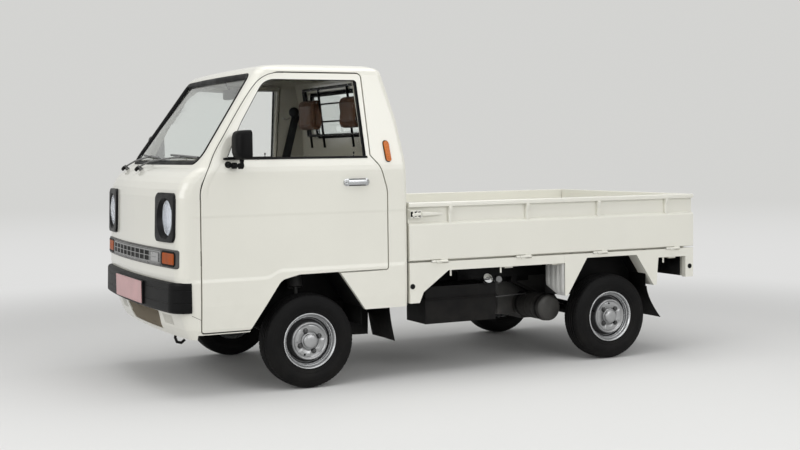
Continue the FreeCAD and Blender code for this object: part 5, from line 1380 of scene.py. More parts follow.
print("frame rail rows", len(loops))

# %% Door glass
pane_outline = rounded(WINDOW, -0.4)
pane = solid([[pillar_side(p.x, p.y, proud) for p in pane_outline] for proud in (-17.0, -21.5)])
for side, body in DOORS:
    glass_piece = piece("pane_" + body, turned(side, pane), door_glass, body)
    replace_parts(glass_piece, "door_glass_" + body[5:])
print("pane outline", len(pane_outline), "points")

# %% [markdown]
# ## Windscreen and rear window rubbers
# Each pane is held by a rubber section that laps over the metal outside and the glass inside. A thin
# rounded moulding that follows the opening's outline shows the real narrow lip.

# %% Rubber mouldings round both panes
def on_windscreen(x, z, proud):
    """A place on the bowed, raked windscreen."""
    row = skin_row(z)
    y = row[1] + NOSE_BOW - math.sqrt(NOSE_BOW ** 2 - x ** 2)
    lean = math.atan2(skin_row(z + 20)[1] - row[1], 20.0)
    return mm(x, y - proud * math.cos(lean), z + proud * math.sin(lean))


def on_back(x, z, proud):
    """A place on the cab's back wall."""
    return mm(x, skin_row(z)[2] + proud, z)


SCREEN = [(-620, 1144, 60), (620, 1144, 60), (528, 1602, 50), (-528, 1602, 50)]
BACK = [(-440, 1280, 40), (440, 1280, 40), (420, 1545, 40), (-420, 1545, 40)]
screen_rubber = moulding(
    SCREEN, [(-0.5, -9), (-0.5, 0.8), (-2, 2.6), (-6, 3.6), (-13, 3.2), (-18, 1.0), (-21.5, -3), (-22.5, -8.6),
             (-22.5, -20), (-0.5, -20)], on_windscreen, arc=10, run=16)
front_rubber = piece("windscreen_rubber", screen_rubber, seal_rubber)
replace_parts(front_rubber, "window_gaskets")
back_rubber = piece("rear_window_rubber", moulding(
    BACK, [(-0.5, -20), (-0.5, 1.0), (-4, 3.0), (-12, 3.0), (-20, 0.6), (-22, -8), (-22, -14), (-14, -20)],
    on_back, arc=8, run=10), seal_rubber)
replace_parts(back_rubber, "window_gaskets")
print("rubber faces", len(front_rubber.data.polygons), "and", len(back_rubber.data.polygons))

# %% [markdown]
# The wipers turn on spindles that come through the panel below the glass. Each wears a small black cap,
# which is turned about the spindle's own leaning axis.

# %% Wiper spindle caps
caps = []
for pivot_x in (-590, -196):
    foot = on_windscreen(pivot_x, 1112, -12)
    lean = (0, -0.78, 0.62)
    caps.append(lathe([(25, 10), (25, 14), (28, 15.5), (36, 14.5), (40, 10), (41, 0.4)], foot, lean, 28,
                      caps=(True, False)))
piece("wiper_caps", joined(*caps), black_and_painted_shade)
print("wiper caps", len(caps))

# %% [markdown]
# ## Door glass seals
# A door's glass drops behind a rubber lip. A thin black seal runs round the opening, and a broad wiping
# strip lies along the sill. They follow the leaning side of the cab, so they are mouldings on its skin,
# and they swing with their door.

# %% Seals and sill strips
seal_shape = moulding(WINDOW, [(0.6, 0.6), (0.2, 1.7), (-1.6, 1.2), (-3.2, -3), (-3.8, -12)], pillar_side, run=14)
sill_strip = level_strip(((-1288, 1172.5), (-514, 1172.5)),
                         [(-6.5, 0.1), (-6.0, 3.4), (-1, 4.6), (4.0, 3.8), (5.0, 0.0)], on_side)
post = bar([on_side(-531, 1176, -8), on_side(-543, 1562, -8)], slab_section(0.006, 0.008, 0.002), bend=0)
knob = lathe([(0, 4.6), (3, 4.6), (5, 2.6), (20, 2.4), (22, 4.2), (30, 4.6), (33, 3.4), (34, 0.4)],
             (0.655, -0.578, 1.166), (0, 0, 1), 16)
for side, body in DOORS:
    piece("window_seal_" + body, turned(side, joined(seal_shape, sill_strip)), seal_rubber, body)
    piece("window_channel_" + body, turned(side, post), seal_rubber, body)
    piece("lock_knob_" + body, turned(side, knob), satin_black, body)
print("seal faces", len(seal_shape[1]), "and", len(sill_strip[1]))

# %% [markdown]
# ## Door handles
# A chromed pull bar stands on two feet over a shallow base, with a round key lock at its front end. The
# bar's section is rounded and it bellies outwards, so it catches a long highlight as the real one does.

# %% Handle base, pull bar and lock
base_outline = [(-652, 1024, 16), (-508, 1024, 16), (-508, 1062, 16), (-652, 1062, 16)]
handle_base = moulding(base_outline, [(0, 0), (0, 2.2), (-1.5, 3.2), (-6, 3.4), (-18.4, 1.6)], on_side, run=8)
grip_path = [(0.6905, -0.640, 1.043), (0.7015, -0.632, 1.043), (0.7055, -0.580, 1.043),
             (0.7015, -0.524, 1.043), (0.6905, -0.514, 1.043)]
grip = bar(grip_path, slab_section(0.008, 0.027, 0.0038), bend=0.014, up=(0, 0, 1))
lock = lathe([(0, 10.5), (10.5, 10.5), (12.4, 9.4), (12.8, 7.0), (11.6, 6.2), (11.4, 0.4)], (0.690, -0.641, 1.043),
             (1, 0, 0), 32)
# The key slot is a black box, painted shade for the lock's slit. The two shadow-gap strips are painted shadow just
# above and below the grip.
key_slot = box_shape((701.3, -642.0, 1039), (702.0, -640.0, 1047))
shadow_gap = joined(*[bar([(0.6937, -0.622, z), (0.6937, -0.530, z)], slab_section(0.0016, 0.0045), bend=0,
                          up=(0, 0, 1))
                      for z in (1.0590, 1.0272)])
for side, body in DOORS:
    handle = piece("handle_" + body, turned(side, joined(handle_base, grip, lock)), handle_chrome, body)
    soften(handle, 0.0008, 2)
    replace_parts(handle, "door_handle_" + body[5:])
    piece("handle_dark_" + body, turned(side, joined(key_slot, shadow_gap)), satin_black, body)
print("handle grip", len(grip[1]), "faces")

# %% [markdown]
# ## Door mirrors
# The mirror's shell is one deep moulding: a flat glass face towards the driver and a rounded back that
# faces forward. Cross-sections of a rounded rectangle shrink towards the back, which gives it soft
# corners all round. It sits on a short stem between two round clamps.


# %% Mirror shell, glass and clamps
def shell_ring(y, half_width, half_height, corner, lean=0.0):
    """A rounded rectangle across the driving direction, in millimetres."""
    loop = []
    for a, b in slab_section(half_width * 2, half_height * 2, corner, 6):
        loop.append(mm(762 + a + lean * b, y, 1239 + b))
    return loop


shell_rings = [
    shell_ring(-1186, 58, 66, 18), shell_ring(-1184, 60.5, 68.5, 19), shell_ring(-1186, 62.5, 70.5, 20),
    shell_ring(-1200, 62.9, 71, 21), shell_ring(-1222, 61.5, 70, 24), shell_ring(-1238, 58, 67, 27),
    shell_ring(-1249, 51, 61, 28), shell_ring(-1256, 40, 51, 26), shell_ring(-1260, 24, 36, 20),
    shell_ring(-1261, 8, 14, 7),
]
mirror_shell = loft(shell_rings, caps=(False, True))
mirror_glass = solid([shell_ring(-1187.5, 57.5, 65.5, 17), shell_ring(-1187.0, 57.5, 65.5, 17)])
stem = lathe([(-6, 9.5), (0, 11.5), (6, 11.0), (20, 9.5), (32, 12), (36, 10)], (0.752, -1.216, 1.134), (0, 0, 1), 24)
clamp_out = lathe([(0, 0.5), (0, 12), (2, 14.5), (22, 14.5), (24, 12), (24, 0.5)], (0.746, -1.232, 1.136), (0, 1, 0),
                  28)
clamp_in = lathe([(0, 0.5), (0, 13), (2, 15.5), (20, 15.5), (22, 13), (22, 0.5)], (0.716, -1.252, 1.138), (-0.3, 1, 0),
                 28)
link = bar([(0.672, -1.266, 1.141), (0.708, -1.250, 1.141), (0.752, -1.218, 1.136)], disc_section(0.0085), bend=0.02)
foot = lathe([(-6, 19), (3, 19), (6, 17), (10, 11), (34, 10), (36, 0.5)], (0.682, -1.264, 1.141), (1, 0, 0), 28)
for side, body in DOORS:
    mirror = piece("mirror_shell_" + body, turned(side, joined(mirror_shell, stem, clamp_out, clamp_in, link, foot)),
                   mirror_plastic, body, crease=40)
    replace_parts(mirror, "mirror_" + body[5:])
    piece("mirror_glass_" + body, turned(side, mirror_glass), chrome, body)
print("mirror rings", len(shell_rings))

# %% [markdown]
# ## Small fittings on the cab's side
# The amber marker lamp stands on a dark rubber base.
# It is small, but its base is the only dark accent on a large pale surface.

# %% Marker lamp base and ribs
marker = [(-408, 1147, 14), (-381, 1147, 14), (-390, 1253, 14), (-418, 1253, 14)]
marker_base = moulding(marker, [(3.2, -0.5), (3.2, 3.0), (2.4, 4.2), (0.4, 4.4), (-1, 3.6), (-1, -0.5)], on_side,
                       run=10)
marker_ribs = [level_strip(((-411 + k * 0.2, z), (-388 + k * 0.2, z)), [(-3.2, 11.2), (0, 13.2), (3.2, 11.2)], on_side,
                           steps=4)
               for k, z in enumerate(range(1162, 1244, 12))]
piece("marker_bases", both_sides(marker_base), seal_rubber)
near_ribs = joined(*marker_ribs)
piece("marker_ribs", both_sides(near_ribs), amber_lens)
print("marker ribs", len(marker_ribs))

# %% [markdown]
# ## Seats and head restraints
# The two seats are foam pads in thin brown vinyl, sewn into channels and piped along the edge. A block
# with rounded edges never looks stuffed, because real vinyl is pulled tight over foam: it crowns between
# its seams and draws in at the corners. So each pad starts a little too small, is blown up for a moment by
# a cloth simulation with air pressure inside, and keeps the shape it takes. The movement is capped, so
# that the pad stays in the space that the frame gives it. The channels and the seams along the edge are pressed in
# after that.


# %% Pad start shape
def pad_start(outline, half_width, round_off):
    """A block with an outline in (y, z) and soft ends, centred on x = 0, in millimetres."""
    loops = []
    for k in range(7):
        turn = math.pi / 2 * k / 6
        x, grow = -half_width + round_off * (1 - math.sin(turn)), -round_off * (1 - math.cos(turn - math.pi / 2))
        loops.append([mm(x, p.x, p.y) for p in rounded(outline, grow)])
    loops += [[Vector((-p.x, p.y, p.z)) for p in loop] for loop in reversed(loops)]
    return solid(loops)


print("pad start points", len(pad_start([(0, 0, 1), (9, 0, 1), (9, 9, 1), (0, 9, 1)], 5, 1)[0]))

# %% Stuffing and sewing
CLOTH_STEPS, AIR_PRESSURE, INWARD_SHARE = 20, 4.0, 0.15


def stuffed(name, shape, cap, voxel=0.008):
    """The shape remeshed, blown up by a short cloth simulation, capped and made finer. Returns a mesh."""
    pad = placed(name, mesh_of(name, shape))
    even = pad.modifiers.new("even_mesh", "REMESH")
    even.mode = "VOXEL"
    even.voxel_size = voxel
    pad.data = as_mesh(pad)
    pad.modifiers.clear()
    cloth = pad.modifiers.new("air", "CLOTH")
    cloth.settings.use_pressure = True
    cloth.settings.uniform_pressure_force = AIR_PRESSURE
    cloth.settings.effector_weights.gravity = 0
    for step in range(1, CLOTH_STEPS + 1):
        bpy.context.scene.frame_set(step)
    blown = as_mesh(pad)
    for start, end in zip(pad.data.vertices, blown.vertices):
        move = end.co - start.co
        if move.dot(start.normal) < 0:
            move *= INWARD_SHARE
        start.co += move * min(1.0, cap / max(move.length, 1e-9))
    pad.modifiers.clear()
    bpy.context.scene.frame_set(1)
    pad.modifiers.new("finer", "SUBSURF").levels = 1
    made = as_mesh(pad)
    bpy.data.objects.remove(pad)
    return made


def sewn(mesh, depth_at):
    """Pulls the surface in along its seams; depth_at gives metres for a place and a normal."""
    normals = [v.normal.copy() for v in mesh.vertices]
    for vertex, normal in zip(mesh.vertices, normals):
        vertex.co -= normal * depth_at(vertex.co, normal)
    mesh.update()


def seam_dip(distance, width, depth):
    """How deep a seam pulls the surface in at a distance from it."""
    return depth * math.exp(-((distance / width) ** 2))


SEAT_X = 0.300


def pad_piece(name, mesh, side, node):
    """A padded piece from a copy of the mesh, moved to the seat on one side."""
    copy = mesh.copy()
    copy.transform(Matrix.Translation(Vector((side * SEAT_X, 0, 0))))
    for face in copy.polygons:
        face.use_smooth = True
    wear(copy, seat_vinyl)
    made = placed(name, copy)
    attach(made, "truck")
    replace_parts(made, node)


print("pads are stuffed with", CLOTH_STEPS, "steps of cloth")

# %% Seat cushions and backs
CHANNELS = (-0.120, -0.060, 0.0, 0.060, 0.120)
CUSHION = [(-1010, 700, 10), (-1002, 802, 34), (-572, 786, 30), (-550, 700, 10)]
PANEL_EDGE = 0.165  # half the width of the sewn panel
cushion_mesh = stuffed("cushion", pad_start(CUSHION, 214, 26), 0.012)


def channels_at(x):
    """How far the sewn channels dip at this distance from a seat's middle."""
    return sum(seam_dip(x - channel, 0.005, 0.0045) for channel in CHANNELS)


def cushion_seams(place, normal):
    """How far the cushion dips at a place on its top or its edge."""
    dip = 0.0
    if normal.z > 0.55:
        dip += channels_at(place.x) * (1.0 if -0.965 < place.y < -0.60 else 0.0)
        dip += seam_dip(abs(place.x) - PANEL_EDGE, 0.004, 0.004)
    return dip + seam_dip(place.z - 0.772, 0.004, 0.003) * (1.0 if normal.z < 0.6 else 0.0)


sewn(cushion_mesh, cushion_seams)
BACKREST = [(-528, 702, 12), (-538, 820, 60), (-504, 1154, 34), (-442, 1154, 26), (-424, 702, 12)]
back_mesh = stuffed("back", pad_start(BACKREST, 214, 24), 0.010)


def back_seams(place, normal):
    """How far the seat back dips at a place on its front face."""
    dip = 0.0
    if normal.y < -0.55:
        dip += channels_at(place.x) * (1.0 if 0.76 < place.z < 1.10 else 0.0)
        top_seam = seam_dip(place.z - 1.106, 0.004, 0.004)
        dip += seam_dip(abs(place.x) - PANEL_EDGE, 0.004, 0.004)
        dip += top_seam * (1.0 if abs(place.x) < PANEL_EDGE else 0.0)
    return dip


sewn(back_mesh, back_seams)
for side, label in SIDES:
    pad_piece("seat_cushion_" + label, cushion_mesh, side, "seat_cushions")
    pad_piece("seat_back_" + label, back_mesh, side, "seat_backs")
print("cushion faces", len(cushion_mesh.polygons), "back faces", len(back_mesh.polygons))

# %% Head restraints, with a seam between the face and the side
RESTRAINT = [(-455, 1330, 28), (-455, 1499, 36), (-396, 1501, 20), (-396, 1328, 20)]
rest_mesh = stuffed("rest", pad_start(RESTRAINT, 106, 28), 0.006, voxel=0.0055)


def rest_seams(place, normal):
    """How far the seam round a head restraint's face dips."""
    edge = max(abs(place.x) - 0.078, abs(place.z - 1.414) - 0.060)
    return seam_dip(edge, 0.004, 0.0022) if normal.y < -0.2 else 0.0


sewn(rest_mesh, rest_seams)
for side, label in SIDES:
    pad_piece("head_restraint_" + label, rest_mesh, side, "headrests")
print("head restraint faces", len(rest_mesh.polygons))

# %% [markdown]
# ## Seat belts
# Each shoulder belt hangs from a round guide on the pillar and drops to a reel beside the seat: flat
# webbing, which the frame already has. What it lacks is the guide's round boss, the chromed ring that the
# webbing runs through, the reel's drum and the buckles between the seats.

# %% Belt guides, reels and buckles
GUIDE_PROFILE = [(0, 1), (0, 26), (3, 30), (12, 31), (18, 28), (22, 18), (23, 1)]
REEL_PROFILE = [(0, 1), (0, 30), (3, 33), (42, 33), (45, 30), (45, 1)]
guides, guide_rings, reels = [], [], []
for side, _ in SIDES:
    guides.append(lathe(GUIDE_PROFILE, (side * 0.574, -0.418, 1.440), (-side, -0.35, 0.1), 36))
    ring_path = [(side * x, y, z)
                 for x, y, z in ((0.548, -0.500, 1.408), (0.556, -0.476, 1.396), (0.564, -0.452, 1.408))]
    guide_rings.append(bar(ring_path, disc_section(0.0045), bend=0.012))
    reels.append(lathe(REEL_PROFILE, (side * 0.560, -0.500, 0.742), (0, 1, 0), 32))
piece("belt_guides", joined(*guides, *reels), satin_black)
piece("belt_guide_rings", joined(*guide_rings), chrome)
buckles = [bar([(side * 0.052, -0.560, 0.700), (side * 0.056, -0.566, 0.800), (side * 0.060, -0.590, 0.845)],
               slab_section(0.034, 0.016, 0.004), bend=0.03, up=(0, 1, 0)) for side in (1, -1)]
piece("belt_buckles", joined(*buckles), satin_black)
print("belt parts", len(guides) + len(reels) + len(buckles))

# %% [markdown]
# ## Steering wheel, dashboard and cab fittings
# Through the windscreen one sees a thin black wheel with two spokes, a plain padded dashboard with a
# small instrument hood, a mirror and a sun visor. They are simple plastic shapes, so bars and turned
# shapes are enough, but each keeps its real thickness.

# %% Steering wheel
WHEEL_HUB = Vector((-0.300, -1.150, 1.085))
WHEEL_RADIUS, WHEEL_TILT = 0.185, math.radians(25)
wheel_axis = Vector((0, math.sin(WHEEL_TILT), math.cos(WHEEL_TILT)))
across, lift = frame_of(wheel_axis)


def on_wheel(turn, radius, along):
    """A place on the steering wheel."""
    return WHEEL_HUB + (across * math.cos(turn) + lift * math.sin(turn)) * radius + wheel_axis * along


rim_loops = []
for k in range(97):
    turn = 2 * math.pi * k / 96
    grip = 0.0098 + 0.0009 * (1 if k % 4 < 2 else 0)
    outwards = across * math.cos(turn) + lift * math.sin(turn)
    rim_loops.append([on_wheel(turn, WHEEL_RADIUS, 0) + outwards * a * grip + wheel_axis * b * grip
                      for a, b in disc_section(1.0, 16)])
spokes = [bar([on_wheel(turn, 0.030, -0.012), on_wheel(turn, 0.100, -0.004), on_wheel(turn, 0.180, 0.0)],
              slab_section(0.030, 0.009, 0.003),
              bend=0.04, up=tuple(wheel_axis)) for turn in (math.radians(-22), math.radians(202))]
hub = lathe([(-38, 0.5), (-38, 20), (-20, 24), (-14, 36), (-4, 37.6), (2, 36), (5, 30), (6, 20), (6.5, 0.5)],
            WHEEL_HUB, wheel_axis, 48)
wheel = piece("steering_wheel_rim", joined(loft(rim_loops), hub, *spokes), pebbled_plastic, "steering_wheel")
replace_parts(wheel, "steering_wheel")
print("steering wheel", len(wheel.data.polygons), "faces")

# %% Instrument hood, dials, glove box line and vents
hood = solid([[mm(-300 + a, y, 1100 + b) for a, b in slab_section(w * 2, h * 2, 14, 4)]
             for y, w, h in ((-1440, 120, 6), (-1400, 128, 20), (-1330, 130, 30),
                             (-1288, 128, 32), (-1286, 122, 26), (-1306, 118, 24))])
piece("instrument_hood", hood, lining_plastic)
dials = [lathe([(0, 0.5), (0, 22), (2, 23), (3, 21), (1.5, 20), (1.5, 0.5)], mm(x, -1305, 1100), (0, 1, 0), 32)
         for x in (-348, -300, -252)]
piece("instrument_dials", joined(*dials), satin_black)
vents = [box_shape((x, -1283.5, 1062 + k * 9), (x + 92, -1279, 1066 + k * 9)) for x in (-60, 60, 470) for k in range(4)]
knobs = [lathe([(0, 0.5), (0, 9), (8, 8), (10, 6), (10, 0.5)], mm(x, -1282, 985), (0, 1, 0), 20)
         for x in (-60, -20, 20, 60)]
glove = bar([mm(*p) for p in ((170, -1281.2, 1040), (560, -1281.2, 1040), (560, -1281.2, 930), (170, -1281.2, 930))],
            slab_section(0.003, 0.002), bend=0.008, up=(0, 1, 0), closed=True)
piece("dashboard_details", joined(*vents, *knobs, glove), black_and_painted_shade)
print("dashboard details", len(vents) + len(knobs) + 1)

# %% Interior mirror and sun visors
mirror_back = solid([[mm(x, -1010 + a, 1520 + b) for a, b in slab_section(w, h, min(w, h) * 0.35, 4)]
                    for x, w, h in ((-106, 10, 30), (-102, 18, 46), (-60, 22, 54),
                                    (60, 22, 54), (102, 18, 46), (106, 10, 30))])
mirror_stem = bar([(0, -1.014, 1.545), (0, -1.040, 1.585), (0, -1.050, 1.615)], disc_section(0.006), bend=0.02)
piece("cab_mirror", joined(mirror_back, mirror_stem), pebbled_plastic)
visors = []
for side, _ in SIDES:
    rows = [[mm(side * (300 + a), -1075 + b * 0.32 + d * 0.9, 1588 - b * 0.10 + d * 0.3)
             for a, b in slab_section(290, 130, 28, 4)] for d in (-7, 7)]
    visors.append(solid(rows))
soften(piece("sun_visors", joined(*visors), visor_vinyl), 0.004, 3)
print("sun visors", len(visors))

# %% [markdown]
# ## Load bed and its gates
# The bed's sides are pressed from one sheet each: a rolled tube along the top edge gives stiffness, and
# four upright brackets tie it to the panel. The gates turn on barrel hinges along the bottom and are held
# by a spring latch with a long tapering lever. These small parts throw the shadows that make a plain
# panel look like a gate, so each one is modelled. The rails, brackets and latches ride on their own gate; the hinges
# ride on the truck.

# %% Rolled top rails
RAIL_X, RAIL_Z, RAIL_RADIUS = 0.6775, 0.9145, 0.0125


def rolled_rail(body, start, end):
    """The round rail along the top edge of a gate, between two places."""
    section = [(a * RAIL_RADIUS, b * RAIL_RADIUS) for a, b in disc_section(1.0, 18)]
    rail = bar([(*start, RAIL_Z), (*end, RAIL_Z)], section, bend=0, up=(0, 0, 1))
    piece("top_rail_" + body, rail, body_enamel, body, crease=60)


for side, body in GATES:
    rolled_rail(body, (side * RAIL_X, -0.2775), (side * RAIL_X, 1.587))
rolled_rail("tailgate", (-0.647, 1.578), (0.647, 1.578))
print("top rails at", RAIL_Z, "m")

# %% Brackets under the rail
SIDE_RIBS, TAIL_SPOTS = (-34, 448, 920, 1394), (-450, 0, 450)
TAIL_STEP = 900  # the tailgate's parts repeat the side gates', this far out
BRACKET = [(676.5, 905), (694.0, 905), (695.2, 898), (693.0, 884), (688.0, 872), (683.0, 858), (681.0, 838),
           (681.5, 826), (676.5, 824)]


def bracket(place):
    """A folded bracket: flat cheek, outward nose and a toe. place puts (out, along, height) in space."""
    rows = [[place(out, along, z) for out, z in BRACKET] for along in (-9, -7.5, 7.5, 9)]
    return solid(rows)


near_brackets = joined(*[bracket(lambda out, along, z: mm(out, y + along, z)) for y in SIDE_RIBS])
tail_brackets = joined(*[bracket(lambda out, along, z: mm(x + along, out + TAIL_STEP, z)) for x in TAIL_SPOTS])
for side, body in GATES:
    soften(piece("rail_brackets_" + body, turned(side, near_brackets), body_enamel, body), 0.002, 2)
soften(piece("rail_brackets_tailgate", tail_brackets, body_enamel, "tailgate"), 0.002, 2)
print("brackets", len(SIDE_RIBS), "a side and", len(TAIL_SPOTS), "behind")

# %% Barrel hinges with pin ends
HINGE_SPOTS, HINGE_OUT, HINGE_Z = (-115, 406, 913, 1425), 690.3, 613.0
PIN_PROFILE = [(-38, 0.5), (-38, 3.2), (-36, 4.2), (-34, 4.2), (34, 3.6), (37, 3.6), (37, 0.5)]


def hinge(centre, axis):
    """Three barrels in a row."""
    return joined(*[lathe([(s, 0.5), (s, 6.2), (s + 0.8, 7.0), (e - 0.8, 7.0), (e, 6.2), (e, 0.5)], centre, axis, 18)
                    for s, e in ((-34, -12), (-10, 10), (12, 34))])


side_places = [mm(HINGE_OUT, y, HINGE_Z) for y in HINGE_SPOTS]
near_hinges = joined(*[hinge(place, (0, 1, 0)) for place in side_places])
near_pins = joined(*[lathe(PIN_PROFILE, place, (0, 1, 0), 14) for place in side_places])
tail_hinges = [hinge(mm(x, HINGE_OUT + TAIL_STEP, HINGE_Z), (1, 0, 0)) for x in TAIL_SPOTS]
piece("gate_hinge_barrels", both_sides(near_hinges), body_enamel)
piece("gate_hinge_pins", both_sides(near_pins), dull_steel)
piece("tail_hinge_barrels", joined(*tail_hinges), body_enamel)
print("hinges", 2 * len(side_places) + len(tail_hinges))

# %% Side latches: a plate with slots, a hook and a long tapering lever
# Middle height, half height and flatness of the lever's sections
LEVER = ((868, 12, 0), (868, 12.5, 0), (867, 9.5, 1.0), (865.5, 6.5, 2.5), (864, 4.0, 4.5), (864, 2.0, 6.0))


def lever_shape(stations, place):
    """A lever that tapers from the first station to the last. place puts (out, along, height) in space."""
    rows = []
    for along, (middle, half, flat) in zip(stations, LEVER):
        section = ((686.5, -half), (693.5 - flat, -half * 0.8), (694.5 - flat, 0), (693.5 - flat, half * 0.8),
                   (686.5, half))
        rows.append([place(out, along, middle + rise) for out, rise in section])
    return solid(rows)


latch_plate = box_shape((686, -273, 846), (690, -203, 888), 0.6)
lever = lever_shape((-206, -190, -150, -110, -84, -80), mm)
hook = bar([(0.6925, -0.262, 0.862), (0.6950, -0.240, 0.867), (0.6925, -0.212, 0.868)],
           slab_section(0.006, 0.016, 0.002), bend=0.01, up=(0, 0, 1))
# The slots are black boxes on the plate: painted shade for the holes.
slots = [box_shape((689.6, y, 854), (691.4, y + w, 881)) for y, w in ((-271, 12), (-247, 9), (-226, 13))]
pin_heads = [lathe([(0, 4.2), (2.4, 3.8), (3.2, 2.2), (3.4, 0.4)], mm(690.0, y, z), (1, 0, 0), 16)
             for y, z in ((-254, 852), (-215, 852), (-235, 883))]
for side, body in GATES:
    soften(piece("latch_lever_" + body, turned(side, joined(latch_plate, lever, hook)), body_enamel, body), 0.0012, 2)
    piece("latch_dark_" + body, turned(side, joined(*slots)), black_and_painted_shade, body)
    piece("latch_pins_" + body, turned(side, joined(*pin_heads)), dull_steel, body)
print("side latches with", len(slots), "slots and", len(pin_heads), "pins each")

# %% Tailgate latches: the same lever over a plate with slots
cover = box_shape((568, 1586, 846), (640, 1590, 888), 0.6)
arm = lever_shape((572, 556, 520, 480, 452, 448), lambda out, along, z: mm(along, out + TAIL_STEP, z))
# These slots are black boxes too: painted shade for the holes in the cover.
tail_slots = joined(*[box_shape((x, 1589.6, 860), (x + w, 1590.8, 876)) for x, w in ((622, 10), (604, 7), (584, 9))])
for side, label in SIDES:
    soften(piece("tail_latch_" + label, turned(side, joined(cover, arm)), body_enamel, "tailgate"), 0.0012, 2)
    piece("tail_latch_dark_" + label, turned(side, tail_slots), black_and_painted_shade, "tailgate")
print("tail lever faces", len(arm[1]))

# %% [markdown]
# The bed's floor is one sheet with shallow ribs pressed into it from front to back, which stiffen it and
# keep a load off the water. Each rib is a low trapezoid that fades out at both ends.

# %% Ribbed bed floor: pressed ribs run front to back
BED_FLOOR_Z = 640.2
floor_ribs = []
for x in range(-520, 521, 130):
    floor_ribs.append(loft([[mm(x + a, y, BED_FLOOR_Z + h)
                             for a, h in ((-22, 0), (-15, 3.2 * g), (15, 3.2 * g), (22, 0))]
                            for y, g in ((-250, 0.05), (-235, 1), (1515, 1), (1530, 0.05))], closed=False))
piece("bed_floor_ribs", joined(*floor_ribs), body_enamel)
print("floor ribs", len(floor_ribs))

# %% [markdown]
# ## Underside
# Behind the front wheel hangs a black rubber flap, and the wheel house is lined in black. Under the bed one
# sees the tank with its filler cap, a round silencer with shallow bands, pressed wheel-house walls and the
# dark mass of the engine. They are seen between the wheels at a low angle, so their outlines matter most,
# and their pressed ribs after that. Plain dark sheets close the places that would let light through.

# %% Front wheel-house liners
SHEET = 3  # thickness of the dark sheets


def dark_wall(name, points):
    """A dark sheet: an outline and the same outline one thickness further on."""
    front = [mm(*p) for p in points]
    normal = (front[1] - front[0]).cross(front[2] - front[1]).normalized() * SHEET * 0.001
    return piece(name, solid([front, [p + normal for p in front]]), black_and_painted_shade)


for side, label in SIDES:
    dark_wall("wheel_house_inner_" + label,
              [(side * 386, y, z) for y, z in ((-1150, 330), (-990, 594), (-560, 598), (-545, 330))])
    dark_wall("wheel_house_rear_" + label,
              [(side * x, -540, z) for x, z in ((386, 300), (640, 300), (640, 594), (386, 594))])
print("liners are", SHEET, "mm thick")


# %% Mud flaps: rubber sheets that curl back towards the foot
FLAP_DEPTH = 5


def flap(x_in, x_out, y_top, z_top, z_foot, curl):
    """A hanging sheet whose foot swings back by curl, a little bowed across its width."""
    middle, rows = (x_in + x_out) / 2, []
    for k in range(13):
        t = k / 12
        y, z, bow = y_top + curl * t ** 1.6, z_top + (z_foot - z_top) * t, 4 * t
        section = ((x_in, 0), (middle, bow), (x_out, 0),
                   (x_out, FLAP_DEPTH), (middle, FLAP_DEPTH + bow), (x_in, FLAP_DEPTH))
        rows.append([mm(x, y + d, z) for x, d in section])
    return solid(rows)


side_sheet = bar([(0.405, -0.640, 0.312), (0.405, -0.395, 0.306)], slab_section(0.004, 0.186, 0.001),
                 bend=0, up=(0, 0, 1))
near_flaps = joined(side_sheet, flap(404, 676, -400, 405, 207, 30), flap(420, 668, 1262, 400, 212, 100))
flaps = soften(piece("mud_flap_sheets", both_sides(near_flaps), flap_rubber), 0.0015, 2)
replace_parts(flaps, "mud_flaps")
print("mud flap faces", len(near_flaps[1]), "a side")


# %% Silencer with its bands, straps and tail pipe
BANDS, BAND_DEPTH, RING_STEP = (60, 130, 200), 2.5, 6


def banded(along, radius, turn):
    """Three shallow bands round the silencer."""
    return along, radius - (BAND_DEPTH if any(abs(along - a) < 7 for a in BANDS) else 0)


MUFFLER_LOW, MUFFLER_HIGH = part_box("muffler")
end_y, end_z = ((a + b) / 2 for a, b in zip(MUFFLER_LOW[1:], MUFFLER_HIGH[1:]))
muffler_end = (MUFFLER_LOW[0], end_y, end_z)
length = (MUFFLER_HIGH[0] - MUFFLER_LOW[0]) * 1000
radius = (MUFFLER_HIGH[2] - MUFFLER_LOW[2]) * 500
shoulder = ((0, 0.82), (4, 0.92), (10, 0.985))
rings = [(0, 0.5), *[(a, radius * share) for a, share in shoulder]]
rings += [(14 + k * RING_STEP, radius) for k in range(int((length - 28) / RING_STEP) + 1)]
rings += [*[(length - a, radius * share) for a, share in reversed(shoulder)], (length, 0.5)]
silencer = piece("silencer", lathe(rings, muffler_end, (1, 0, 0), 64, banded), silencer_steel, crease=30)
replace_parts(silencer, "muffler")
straps = [ring([(a, radius + 0.4), (a, radius + 2.2), (a + 16, radius + 2.2), (a + 16, radius + 0.4)], muffler_end,
                (1, 0, 0), 48) for a in (34, length - 52)]
piece("silencer_straps", joined(*straps), frame_paint)
pipe_path = ((0.300, 0.668, 0.300), (0.200, 0.668, 0.300), (0.150, 0.560, 0.300), (0.100, 0.300, 0.290))
piece("exhaust_pipe", bar(pipe_path, disc_section(0.018, 20), bend=0.06), silencer_steel)
print("silencer", round(length), "mm long, radius", round(radius))

